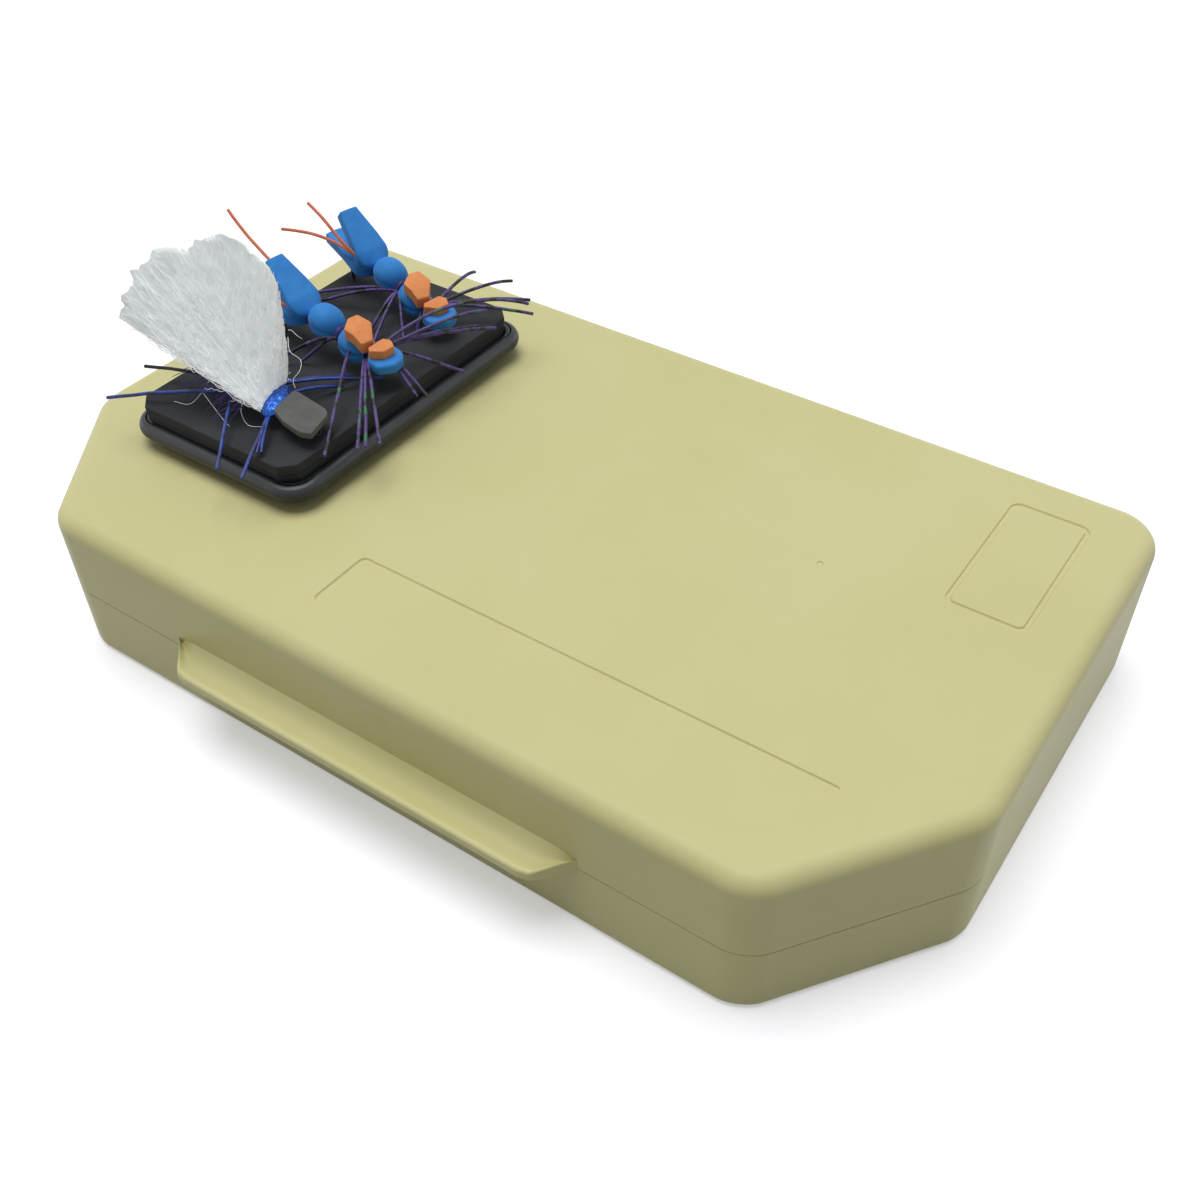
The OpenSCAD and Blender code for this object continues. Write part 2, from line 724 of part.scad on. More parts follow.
middle_legs = [
  [18.2, -1, -7.7, -9, 0.6, 0.4], [18.6, -1, -3, -5.5, 0.6, 0.3],
  [26.2, -1, 20.4, -23.6, 0.4, 0.2], [26.4, -1, 22.5, -17.8, 0.4, 0.2],
  [26.6, -1, 26, -16.8, 0.4, 0.2], [26.9, -1, 23, -1, 0.5, 0.3],
  [26.5, 1, 19.9, 19.6, 3.3, 0.6], [26.8, 1, 22.6, 21.6, 2.8, 1],
  [26.6, 1, 22.2, 19.6, 7.3, 1.2]
];
rear_legs = [
  [18.2, -1, -17.6, 14.1, 1.3, 0.6], [18.4, -1, -15.8, 12.6, 0.7, 0.4],
  [18.7, -1, 0.3, 10.1, 0.6, 0.3], [18.8, -1, 3.7, 7.5, 0.6, 0.3],
  [26.5, 1, 8.8, 32.8, 5.3, 1], [26.6, 1, 16, 35.5, 4.3, 1],
  [26.7, 1, 21.8, 33.6, 2.8, 0.8], [26.8, 1, 23.9, 31.7, 1.3, 0.6]
];
front_legs = [
  [17.2, -1, -24, -34.1, 0.5, 0.6], [18, -1, 8.2, -37.5, 0.4, 0.3],
  [19.4, -1, 13.7, -37.1, 0.4, 0.2], [17.2, 1, -24.6, -24.2, 1.7, 0.8],
  [18.4, 1, 8.6, -7.4, 0.5, 0.4], [19.4, 1, 10.7, -3.5, 0.5, 0.4]
];

// The orange tail strands: two middle points and the tip, measured as the legs' tips are
module tails(fly, list) {
  color(fly_orange) for (tail = list)
    strand([
      fly_point(fly, [waists[0], tail[0], 0.9]),
      for (p = [tail[1], tail[2], tail[3]]) [caddy_x + p[0], caddy_y + p[1], block_z + p[2]]
    ], leg_r);
}

middle_tails = [
  [1, [-12, 4.5, 10], [-21, 3.6, 14], [-28.1, 5.2, 19.7]],
  [-1, [-10, -4.2, 10], [-13.4, -4, 13], [-16, -4.8, 21.3]]
];
rear_tails = [
  [-1, [-11, 17.8, 10], [-14, 18.2, 14.6], [-21.1, 19.2, 17.3]],
  [-1, [-11.5, 19.6, 9.6], [-18, 19.8, 11.8], [-28.9, 18.2, 10]]
];

module front_fly_underbody() {
  color(hook_black) at_fly(front_fly) difference() {
    barrel(5.4, 15.8, 0, 1.5);
    rotate([0, 90, 0]) cylinder(h = 60, r = wire_r);
  }
}

module front_fly_collar() {
  color(fly_blue) at_fly(front_fly) difference() {
    translate([16.9, 0, 0]) rotate([0, 90, 0]) union() {
      cylinder(h = 2.5, r1 = 1.5, r2 = 2.2);
      translate([0, 0, 2.5]) cylinder(h = 2.5, r1 = 2.2, r2 = 1.7);
    }
    rotate([0, 90, 0]) cylinder(h = 60, r = wire_r);
  }
}

module front_fly_head() {
  s0 = 22;
  s1 = 33.2;
  half_w = 4.7;
  color([0.40, 0.40, 0.40]) at_fly(front_fly) difference() {
    translate([0, 0, -0.6]) linear_extrude(sheet_t + 0.2) polygon([
      [s0, -2.6], [s0 + 2, -half_w], [s1 - 3.2, -half_w], [s1, -half_w + 2.6],
      [s1, half_w - 2.6], [s1 - 3.2, half_w], [s0 + 2, half_w], [s0, 2.6]
    ]);
    rotate([0, 90, 0]) cylinder(h = 60, r = wire_r);
  }
}

// The wing is a flat fan of fibre that leans back over the fly
module front_fly_wing() {
  root = fly_point(front_fly, [18.4, 0, 2]);
  tips = [
    [-25, -7.6, 8], [-23.4, -6.6, 12.2], [-20.8, -3.8, 16.8], [-15.8, -0.5, 20.6],
    [-9.4, 4.5, 23], [-5, 7, 18.2], [-2.4, 5.5, 9.4]
  ];
  color([0.85, 0.86, 0.87]) hull() {
    translate(root) sphere(0.9, $fn = 16);
    for (t = tips) translate(root + t) sphere(1.6, $fn = 16);
  }
}

hook_end = 33.4;

base_shell();
lid_shell();
hinge_pins();
base_liner();
lid_liner();
base_magnets();
lid_magnets();
keeper_plate();
caddy_tray();
caddy_foot();
caddy_magnets();
caddy_lower_foam();
caddy_upper_foam();
at_fly(front_fly) hook(3.4, hook_end);  // front_fly_hook
front_fly_underbody();
front_fly_collar();
front_fly_head();
front_fly_wing();
legs(front_fly, front_legs, leg_blue);  // front_fly_legs
at_fly(middle_fly) hook(bend_r, hook_end);  // middle_fly_hook
at_fly(middle_fly) bindings(waists);  // middle_fly_thread
at_fly(middle_fly) foam_body();  // middle_fly_upper_foam
at_fly(middle_fly) lower_flap();  // middle_fly_lower_foam
at_fly(middle_fly) marker();  // middle_fly_marker
legs(middle_fly, middle_legs, leg_purple);  // middle_fly_legs
tails(middle_fly, middle_tails);  // middle_fly_tails
at_fly(rear_fly) hook(bend_r, hook_end);  // rear_fly_hook
at_fly(rear_fly) bindings(waists);  // rear_fly_thread
at_fly(rear_fly) foam_body();  // rear_fly_upper_foam
at_fly(rear_fly) lower_flap();  // rear_fly_lower_foam
at_fly(rear_fly) marker();  // rear_fly_marker
legs(rear_fly, rear_legs, leg_purple);  // rear_fly_legs
tails(rear_fly, rear_tails);  // rear_fly_tails
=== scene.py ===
"""Looks of a clamshell fly box: two moulded shells, foam liners and a magnetic foam caddy.

Three dry flies are hooked into the caddy. Every size, place and height is in millimetres
unless it says metres, and every mesh is made in metres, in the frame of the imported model:
+X runs along the front wall, +Y points to the hinges and +Z is up.
"""

import logging
import math
import random
from collections.abc import Callable, Iterator, Sequence
from contextlib import contextmanager
from dataclasses import dataclass
from enum import Enum
from typing import ClassVar

import bmesh
import bpy
from mathutils import Matrix, Vector, noise


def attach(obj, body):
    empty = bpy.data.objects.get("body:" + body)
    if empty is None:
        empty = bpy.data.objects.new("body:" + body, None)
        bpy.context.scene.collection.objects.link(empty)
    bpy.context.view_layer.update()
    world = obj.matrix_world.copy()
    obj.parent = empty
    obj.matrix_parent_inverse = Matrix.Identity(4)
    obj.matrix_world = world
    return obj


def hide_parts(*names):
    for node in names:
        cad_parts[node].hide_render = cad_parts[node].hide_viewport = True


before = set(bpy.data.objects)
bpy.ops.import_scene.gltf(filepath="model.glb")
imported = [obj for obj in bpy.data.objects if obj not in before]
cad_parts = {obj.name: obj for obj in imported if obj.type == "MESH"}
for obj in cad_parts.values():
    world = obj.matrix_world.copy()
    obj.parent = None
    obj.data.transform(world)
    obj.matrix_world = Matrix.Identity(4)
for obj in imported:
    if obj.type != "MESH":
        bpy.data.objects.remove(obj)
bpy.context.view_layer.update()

LOG = logging.getLogger("fly_box")
MM = 0.001
# Places this near count as one, and an edge is parallel to an axis from this cosine on.
NEAR, PARALLEL = 0.01, 0.99
# The flats that the outline's rounds are drawn with lie this far off it at most.
LOOP_SAG = 0.06
# Sides of the bores for the hinge pins.
PIN_SIDES = 32
# Starts of the random draws.
WING_SEED, HACKLE_SEED, FUR_SEED = 11, 23, 5

Number2 = tuple[float, float]
Number3 = tuple[float, float, float]
Line = Sequence[Vector]
Piece = bpy.types.Object
Edge = bmesh.types.BMEdge
Tree = bpy.types.NodeTree
Socket = bpy.types.NodeSocket
Material = bpy.types.Material


class Body(Enum):
    """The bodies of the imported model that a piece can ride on."""

    BASE = "base"
    LID = "lid"
    CADDY = "caddy"


class Mode(Enum):
    """What an edit mode selection is made of."""

    VERTS = "VERT"
    EDGES = "EDGE"
    FACES = "FACE"


# ---------- Bench work: selecting, adding and shaping


def take(*pieces: Piece) -> None:
    """Selects just these pieces and makes the first one active.

    Args:
        pieces: The pieces to select.
    """
    if bpy.context.mode != "OBJECT":
        bpy.ops.object.mode_set(mode="OBJECT")
    bpy.ops.object.select_all(action="DESELECT")
    for piece in pieces:
        piece.select_set(True)
    bpy.context.view_layer.objects.active = pieces[0]


@contextmanager
def editing(piece: Piece, mode: Mode) -> Iterator[None]:
    """Opens a piece in edit mode and closes it again.

    Args:
        piece: The piece to edit.
        mode: What the selection is made of.
    """
    take(piece)
    bpy.ops.object.mode_set(mode="EDIT")
    bpy.ops.mesh.select_mode(type=mode.value)
    yield
    bpy.ops.object.mode_set(mode="OBJECT")


def pick(piece: Piece, mode: Mode, test: Callable[..., bool]) -> int:
    """Selects, in edit mode, just the elements that pass a test.

    Args:
        piece: The piece in edit mode.
        mode: Whether vertices, edges or faces are tested.
        test: Takes a bmesh element, whose places are in metres.

    Returns:
        How many elements were selected.
    """
    bpy.ops.mesh.select_all(action="DESELECT")
    shape = bmesh.from_edit_mesh(piece.data)
    elements = {Mode.VERTS: shape.verts, Mode.EDGES: shape.edges, Mode.FACES: shape.faces}
    chosen = [element for element in elements[mode] if test(element)]
    for element in chosen:
        element.select_set(True)
    bmesh.update_edit_mesh(piece.data)
    return len(chosen)


def level(element: Edge | bmesh.types.BMFace, z: float) -> bool:
    """Whether all corners of an edge or face lie at a height."""
    return all(abs(vert.co.z / MM - z) < NEAR for vert in element.verts)


def name_piece(name: str) -> Piece:
    """Names the primitive just added and applies its place, turn and size.

    Args:
        name: The piece's name.

    Returns:
        The piece.
    """
    piece = bpy.context.object
    piece.name = name
    piece.data.name = name
    bpy.ops.object.transform_apply(location=True, rotation=True, scale=True)
    return piece


def add_block(name: str, size: Number3, centre: Number3) -> Piece:
    """Adds a cube primitive at its size and place.

    Args:
        name: The piece's name.
        size: Lengths along X, Y and Z.
        centre: Middle.

    Returns:
        The new piece.
    """
    bpy.ops.object.select_all(action="DESELECT")
    bpy.ops.mesh.primitive_cube_add(size=1, location=Vector(centre) * MM, scale=Vector(size) * MM)
    return name_piece(name)


def add_round(name: str, radius: float, length: float, centre: Number3,
              sides: int = 48, along_x: bool = False) -> Piece:
    """Adds a cylinder primitive at its size and place.

    Args:
        name: The piece's name.
        radius: Radius.
        length: Length.
        centre: Middle.
        sides: Number of sides.
        along_x: Whether it lies along X and not along Z.

    Returns:
        The new piece.
    """
    bpy.ops.object.select_all(action="DESELECT")
    turn = (0.0, math.pi / 2, 0.0) if along_x else (0.0, 0.0, 0.0)
    bpy.ops.mesh.primitive_cylinder_add(
        vertices=sides, radius=radius * MM, depth=length * MM,
        location=Vector(centre) * MM, rotation=turn)
    return name_piece(name)


def prism(name: str, plan: Sequence[Number2], low: float, high: float) -> Piece:
    """Adds an upright prism, whose corners are drawn to a plan.

    Args:
        name: The piece's name.
        plan: Corners, anticlockwise seen from above.
        low: Height of its underside.
        high: Height of its upper side.

    Returns:
        The new piece.
    """
    count = len(plan)
    piece = add_round(name, 1.0, high - low, (0.0, 0.0, (low + high) / 2), sides=count)

    def place(spot: Vector) -> Vector:
        """Draws a corner to the plan's."""
        turn = math.degrees(math.atan2(spot.y, spot.x)) - 90.0
        return Vector((*plan[round(turn * count / 360.0) % count], spot.z))

    reshape(piece, place)
    outward(piece)
    return piece


def along_axis(edge: Edge, axis: int) -> bool:
    """Whether an edge runs along X, 0, along Y, 1, or along Z, 2."""
    return abs((edge.verts[0].co - edge.verts[1].co).normalized()[axis]) > PARALLEL


def upright(edge: Edge) -> bool:
    """Whether an edge stands upright."""
    return along_axis(edge, 2)


def square_to(edge: Edge, axis: int) -> bool:
    """Whether both ends of an edge have the same place along an axis."""
    return abs(edge.verts[0].co[axis] - edge.verts[1].co[axis]) < NEAR * MM


def subdivided_block(name: str, cuts: tuple[int, int, int], size: Number3 = (2.0, 2.0, 2.0),
                     centre: Number3 = (0.0, 0.0, 0.0)) -> Piece:
    """Adds a block with its own number of cuts across each direction.

    Args:
        name: The piece's name.
        cuts: Cuts across X, Y and Z.
        size: Lengths along X, Y and Z.
        centre: Middle.

    Returns:
        The new piece.
    """
    piece = add_block(name, size, centre)
    with editing(piece, Mode.EDGES):
        for axis, count in enumerate(cuts):
            if count:
                pick(piece, Mode.EDGES, lambda edge: along_axis(edge, axis))
                bpy.ops.mesh.subdivide(number_cuts=count)
    return piece


def reshape(piece: Piece, move: Callable[[Vector], Vector]) -> None:
    """Moves every corner of a piece by hand.

    Args:
        piece: The piece.
        move: Takes a place in millimetres and gives the new one.
    """
    for vert in piece.data.vertices:
        vert.co = move(vert.co / MM) * MM
    piece.data.update()


def bevel_edges(piece: Piece, width: float, segments: int,
                test: Callable[[Edge], bool], clamp: bool = True) -> None:
    """Rounds the edges of a piece that pass a test.

    Args:
        piece: The piece.
        width: Width of the bevel on each side of the edge.
        segments: Number of segments across the bevel.
        test: Takes an edge, whose places are in metres.
        clamp: Whether the width gives way to short edges nearby.
    """
    with editing(piece, Mode.EDGES):
        if pick(piece, Mode.EDGES, test):
            bpy.ops.mesh.bevel(offset_type="OFFSET", offset=width * MM, segments=segments,
                               profile=0.5, affect="EDGES", clamp_overlap=clamp)


def bevel_level(piece: Piece, width: float, segments: int, *heights: float) -> None:
    """Rounds the edges of a piece that lie at any of these heights."""
    bevel_edges(piece, width, segments, lambda edge: any(level(edge, z) for z in heights))


def step_in(inset: float, rise: float) -> None:
    """Insets the selected face and extrudes it by a rise, which is negative for down."""
    bpy.ops.mesh.inset(thickness=inset * MM, use_even_offset=True)
    bpy.ops.mesh.extrude_region_move(TRANSFORM_OT_translate={"value": (0.0, 0.0, rise * MM)})


def cut_across(axis: int, place: float) -> None:
    """Cuts all faces, in edit mode, along the plane square to an axis at a place.

    Args:
        axis: 0 for X, 1 for Y and 2 for Z.
        place: Where the plane stands on that axis.
    """
    normal = [float(part == axis) for part in range(3)]
    bpy.ops.mesh.select_all(action="SELECT")
    bpy.ops.mesh.bisect(plane_co=[part * place * MM for part in normal], plane_no=normal)


def slice_off(piece: Piece, place: Number3, normal: Number3) -> None:
    """Cuts off what lies beyond a plane and closes the cut.

    Args:
        piece: The piece.
        place: A point of the plane.
        normal: The plane's normal, towards what is cut off.
    """
    with editing(piece, Mode.VERTS):
        bpy.ops.mesh.select_all(action="SELECT")
        bpy.ops.mesh.bisect(
            plane_co=Vector(place) * MM, plane_no=normal, use_fill=True, clear_outer=True)


class Joinery(Enum):
    """How a tool piece is worked into another piece."""

    ADD = "UNION"
    CUT = "DIFFERENCE"


def work_in(piece: Piece, tool: Piece, how: Joinery) -> None:
    """Adds a tool piece to a piece or cuts it out, and removes the tool.

    Args:
        piece: The piece that stays.
        tool: The piece that is used up.
        how: Whether it is added or cut out.
    """
    take(piece)
    step = piece.modifiers.new("work", "BOOLEAN")
    step.operation = how.value
    step.solver = "EXACT"
    step.object = tool
    bpy.ops.object.modifier_apply(modifier=step.name)
    bpy.data.objects.remove(tool)


def copy_piece(piece: Piece, name: str, place: Matrix) -> Piece:
    """Copies a piece with a mesh of its own.

    Args:
        piece: The piece to copy.
        name: The copy's name.
        place: Moves the copy's mesh, in metres.

    Returns:
        The copy.
    """
    twin = piece.copy()
    twin.data = piece.data.copy()
    twin.name = twin.data.name = name
    bpy.context.collection.objects.link(twin)
    twin.data.transform(place)
    return twin


def join_pieces(first: Piece, *others: Piece) -> Piece:
    """Joins pieces into the first one.

    Args:
        first: The piece that stays.
        others: The pieces that go into it.

    Returns:
        The first piece.
    """
    take(first, *others)
    bpy.ops.object.join()
    return first


def outward(piece: Piece) -> None:
    """Merges doubled corners and turns all faces outwards.

    Args:
        piece: The piece.
    """
    with editing(piece, Mode.VERTS):
        bpy.ops.mesh.select_all(action="SELECT")
        bpy.ops.mesh.remove_doubles(threshold=0.001 * MM)
        bpy.ops.mesh.normals_make_consistent(inside=False)


def smooth(piece: Piece, angle: float = 35.0, weighted: bool = True,
           crease: Callable[..., bool] | None = None) -> None:
    """Shades a piece smooth up to an angle.

    Args:
        piece: The piece.
        angle: Edges sharper than this many degrees stay sharp.
        weighted: Whether large flat faces keep their own direction at rounded edges.
        crease: Takes an edge, and tells whether it stays sharp at any angle.
    """
    take(piece)
    bpy.ops.object.shade_smooth_by_angle(angle=math.radians(angle))
    if crease:
        with editing(piece, Mode.EDGES):
            pick(piece, Mode.EDGES, crease)
            bpy.ops.mesh.mark_sharp()
    if weighted:
        step = piece.modifiers.new("normals", "WEIGHTED_NORMAL")
        step.keep_sharp = True
        step.weight = 100
        bpy.ops.object.modifier_apply(modifier=step.name)


def bead(name: str, lines: Sequence[Line], radius: float, sides: int = 2,
         taper: float = 1.0) -> Piece:
    """Makes round strands along lines and turns them into one mesh.

    Args:
        name: The piece's name.
        lines: Points of each strand.
        radius: Radius of a strand.
        sides: Resolution of the section; a strand has 4 + 2 * sides sides.
        taper: Share of the radius that is left at a strand's far end.

    Returns:
        The new piece.
    """
    bpy.ops.object.select_all(action="DESELECT")
    bpy.ops.curve.primitive_bezier_curve_add()
    piece = bpy.context.object
    piece.location = (0.0, 0.0, 0.0)
    curve = piece.data
    curve.splines.clear()
    for line in lines:
        spline = curve.splines.new("POLY")
        spline.points.add(len(line) - 1)
        for index, (point, place) in enumerate(zip(spline.points, line)):
            point.co = (*(place * MM), 1.0)
            point.radius = 1.0 + (taper - 1.0) * (index / (len(line) - 1)) ** 2
    curve.dimensions = "3D"
    curve.twist_mode = "MINIMUM"
    curve.bevel_depth = radius * MM
    curve.bevel_resolution = sides
    curve.use_fill_caps = True
    take(piece)
    bpy.ops.object.convert(target="MESH")
    piece = bpy.context.object
    piece.name = piece.data.name = name
    return piece


def cubic(ends: Line, share: float) -> Vector:
    """The point of a smooth curve with four control points, at a share of its way."""
    rest = 1.0 - share
    return (ends[0] * rest**3 + ends[1] * 3 * share * rest**2
            + ends[2] * 3 * share**2 * rest + ends[3] * share**3)


def through(points: Line, steps: int) -> list[Vector]:
    """A smooth line through all of its points.

    Args:
        points: The points, two or more.
        steps: Steps between two points.

    Returns:
        The line's points.
    """
    full = [points[0] * 2 - points[1], *points, points[-1] * 2 - points[-2]]
    line = []
    for index in range(1, len(full) - 2):
        before, here, after, far = full[index - 1:index + 3]
        for step in range(steps):
            share = step / steps
            line.append((here * 2 + (after - before) * share
                         + (before * 2 - here * 5 + after * 4 - far) * share**2
                         + (here * 3 - before - after * 3 + far) * share**3) * 0.5)
    return [*line, points[-1]]


def ease(low: float, high: float, value: float) -> float:
    """A soft step from 0 at low to 1 at high, read at a value."""
    share = min(1.0, max(0.0, (value - low) / (high - low)))
    return share * share * (3.0 - 2.0 * share)


def ramp(table: Sequence[Number2], value: float) -> float:
    """Reads a table of (place, amount) with straight lines between its rows.

    Args:
        table: Rows in rising order of place.
        value: The place.

    Returns:
        The amount there.
    """
    if value <= table[0][0]:
        return table[0][1]
    for (low, start), (high, end) in zip(table, table[1:]):
        if value <= high:
            share = (value - low) / (high - low)
            return start + (end - start) * share
    return table[-1][1]


def waver(place: Vector, size: float, seed: float = 0.0) -> float:
    """Smooth seeded unevenness from about -1 to 1, which changes over a size in millimetres."""
    return noise.noise(place / size + Vector((seed, -seed, 2.0 * seed)))


# ---------- Finishes


def linear(code: str) -> tuple[float, float, float, float]:
    """Turns an sRGB hex code into a linear colour.

    Args:
        code: Six hex digits.

    Returns:
        Red, green, blue and full opacity.
    """
    parts = [int(code[start:start + 2], 16) / 255 for start in (0, 2, 4)]
    red, green, blue = (
        part / 12.92 if part <= 0.04045 else ((part + 0.055) / 1.055) ** 2.4 for part in parts)
    return red, green, blue, 1.0


def per_metre(size: float) -> float:
    """Texture scale on Object coordinates that gives features of a size in millimetres."""
    return 1.0 / (size * MM)


def add_node(tree: Tree, kind: str, settings: dict | None = None,
             links: dict | None = None) -> bpy.types.Node:
    """Adds a node with its settings and links.

    Args:
        tree: The node tree.
        kind: The node's type, without the ShaderNode before it.
        settings: Values by property name, or by socket name or number.
        links: Output sockets by the name or number of the input they feed.

    Returns:
        The node.
    """
    node = tree.nodes.new(f"ShaderNode{kind}")
    for key, value in (settings or {}).items():
        if isinstance(key, str) and hasattr(node, key):
            setattr(node, key, value)
        else:
            node.inputs[key].default_value = value
    for key, socket in (links or {}).items():
        tree.links.new(socket, node.inputs[key])
    return node


def empty_tree(owner: Material | bpy.types.World) -> Tree:
    """Switches a material or world to nodes and empties its tree.

    Args:
        owner: The material or world.

    Returns:
        The tree.
    """
    owner.use_nodes = True
    owner.node_tree.nodes.clear()
    return owner.node_tree


@dataclass(frozen=True)
class Finish:
    """A surface: its base colours, its mottling and its grain.

    The colour drifts between colour and drift over patches of patch millimetres, and a
    bump of grain millimetres roughens it.
    """

    name: str
    colour: str
    drift: str
    patch: float
    roughness: float
    rough_drift: float
    grain: float
    grain_depth: float
    grain_strength: float
    specular: float = 0.5
    metallic: float = 0.0
    sheen: float = 0.0
    subsurface: float = 0.0
    # Strength of a painted glow: emission in the base colour that lightens the surface beyond what
    # the lamps give.
    glow: float = 0.0

    def colour_socket(self, tree: Tree, place: Socket) -> Socket:
        """Mottles the base colour with its drift colour.

        Args:
            tree: The material's node tree.
            place: Object coordinates.

        Returns:
            The colour.
        """
        patches = add_node(tree, "TexNoise", {
            "Scale": per_metre(self.patch), "Detail": 4.0, "Roughness": 0.6}, {"Vector": place})
        share = add_node(tree, "MapRange", {
            "From Min": 0.35, "From Max": 0.65}, {"Value": patches.outputs["Fac"]})
        mix = add_node(tree, "Mix", {
            "data_type": "RGBA", 6: linear(self.colour), 7: linear(self.drift)},
            {0: share.outputs["Result"]})
        return mix.outputs[2]

    def height_socket(self, tree: Tree, place: Socket) -> Socket:
        """The surface's grain as a height, read at Object coordinates."""
        return add_node(tree, "TexNoise", {"Scale": per_metre(self.grain), "Detail": 3.0,
                                           "Roughness": 0.55}, {"Vector": place}).outputs["Fac"]

    def build(self) -> Material:
        """Makes the material.

        Returns:
            The material.
        """
        material = bpy.data.materials.new(self.name)
        tree = empty_tree(material)
        place = add_node(tree, "TexCoord").outputs["Object"]
        uneven = add_node(tree, "TexNoise", {
            "Scale": per_metre(self.grain * 7), "Detail": 2.0}, {"Vector": place})
        rough = add_node(tree, "MapRange", {
            "To Min": max(0.0, self.roughness - self.rough_drift),
            "To Max": min(1.0, self.roughness + self.rough_drift)},
            {"Value": uneven.outputs["Fac"]})
        bump = add_node(tree, "Bump", {
            "Strength": self.grain_strength, "Distance": self.grain_depth * MM},
            {"Height": self.height_socket(tree, place)})
        # The emission is a painted glow, and it is nothing when glow is 0.
        shader = add_node(tree, "BsdfPrincipled", {
            "Metallic": self.metallic, "Specular IOR Level": self.specular,
            "Sheen Weight": self.sheen, "Subsurface Weight": self.subsurface,
            "Subsurface Radius": (1.0, 1.0, 1.0), "Subsurface Scale": 0.3 * MM,
            "Emission Color": linear(self.colour), "Emission Strength": self.glow},
            {"Base Color": self.colour_socket(tree, place),
             "Roughness": rough.outputs["Result"], "Normal": bump.outputs["Normal"]})
        add_node(tree, "OutputMaterial", None, {"Surface": shader.outputs["BSDF"]})
        return material


@dataclass(frozen=True)
class ClosedCellFoam(Finish):
    """Cross-linked foam sheet: closed cells of a third of a millimetre, cut by a die."""

    def height_socket(self, tree: Tree, place: Socket) -> Socket:
        """Rounded cells, as a height.

        Args:
            tree: The material's node tree.
            place: Object coordinates.

        Returns:
            The height.
        """
        cells = add_node(tree, "TexVoronoi", {
            "feature": "F1", "Scale": per_metre(self.grain), "Randomness": 1.0},
            {"Vector": place})
        skin = add_node(tree, "TexNoise", {
            "Scale": per_metre(self.grain * 4), "Detail": 3.0}, {"Vector": place})
        mix = add_node(tree, "Mix", {"data_type": "FLOAT", 0: 0.45},
                       {2: cells.outputs["Distance"], 3: skin.outputs["Fac"]})
        return mix.outputs[0]


@dataclass(frozen=True)
class BarredRubber(Finish):
    """Silicone leg strand, printed with bars across it every millimetre or two."""

    bar: str = "101014"
    fleck: str = "2F6B48"
    fleck_share: float = 0.0
    bar_length: float = 1.5

    def colour_socket(self, tree: Tree, place: Socket) -> Socket:
        """Breaks the strand's colour with bars and flecks.

        Args:
            tree: The material's node tree.
            place: Object coordinates.

        Returns:
            The colour.
        """
        base = Finish.colour_socket(self, tree, place)
        cells = add_node(tree, "TexVoronoi", {
            "feature": "F1", "Scale": per_metre(self.bar_length)}, {"Vector": place})
        parts = add_node(tree, "SeparateColor", None, {"Color": cells.outputs["Color"]})
        barred = add_node(tree, "MapRange", {
            "From Min": 0.62, "From Max": 0.72}, {"Value": parts.outputs["Red"]})
        dark = add_node(tree, "Mix", {"data_type": "RGBA", 7: linear(self.bar)},
                        {0: barred.outputs["Result"], 6: base})
        flecked = add_node(tree, "MapRange", {
            "From Min": 1.0 - self.fleck_share, "From Max": 1.02 - self.fleck_share},
            {"Value": parts.outputs["Green"]})
        green = add_node(tree, "Mix", {"data_type": "RGBA", 7: linear(self.fleck)},
                         {0: flecked.outputs["Result"], 6: dark.outputs[2]})
        return green.outputs[2]


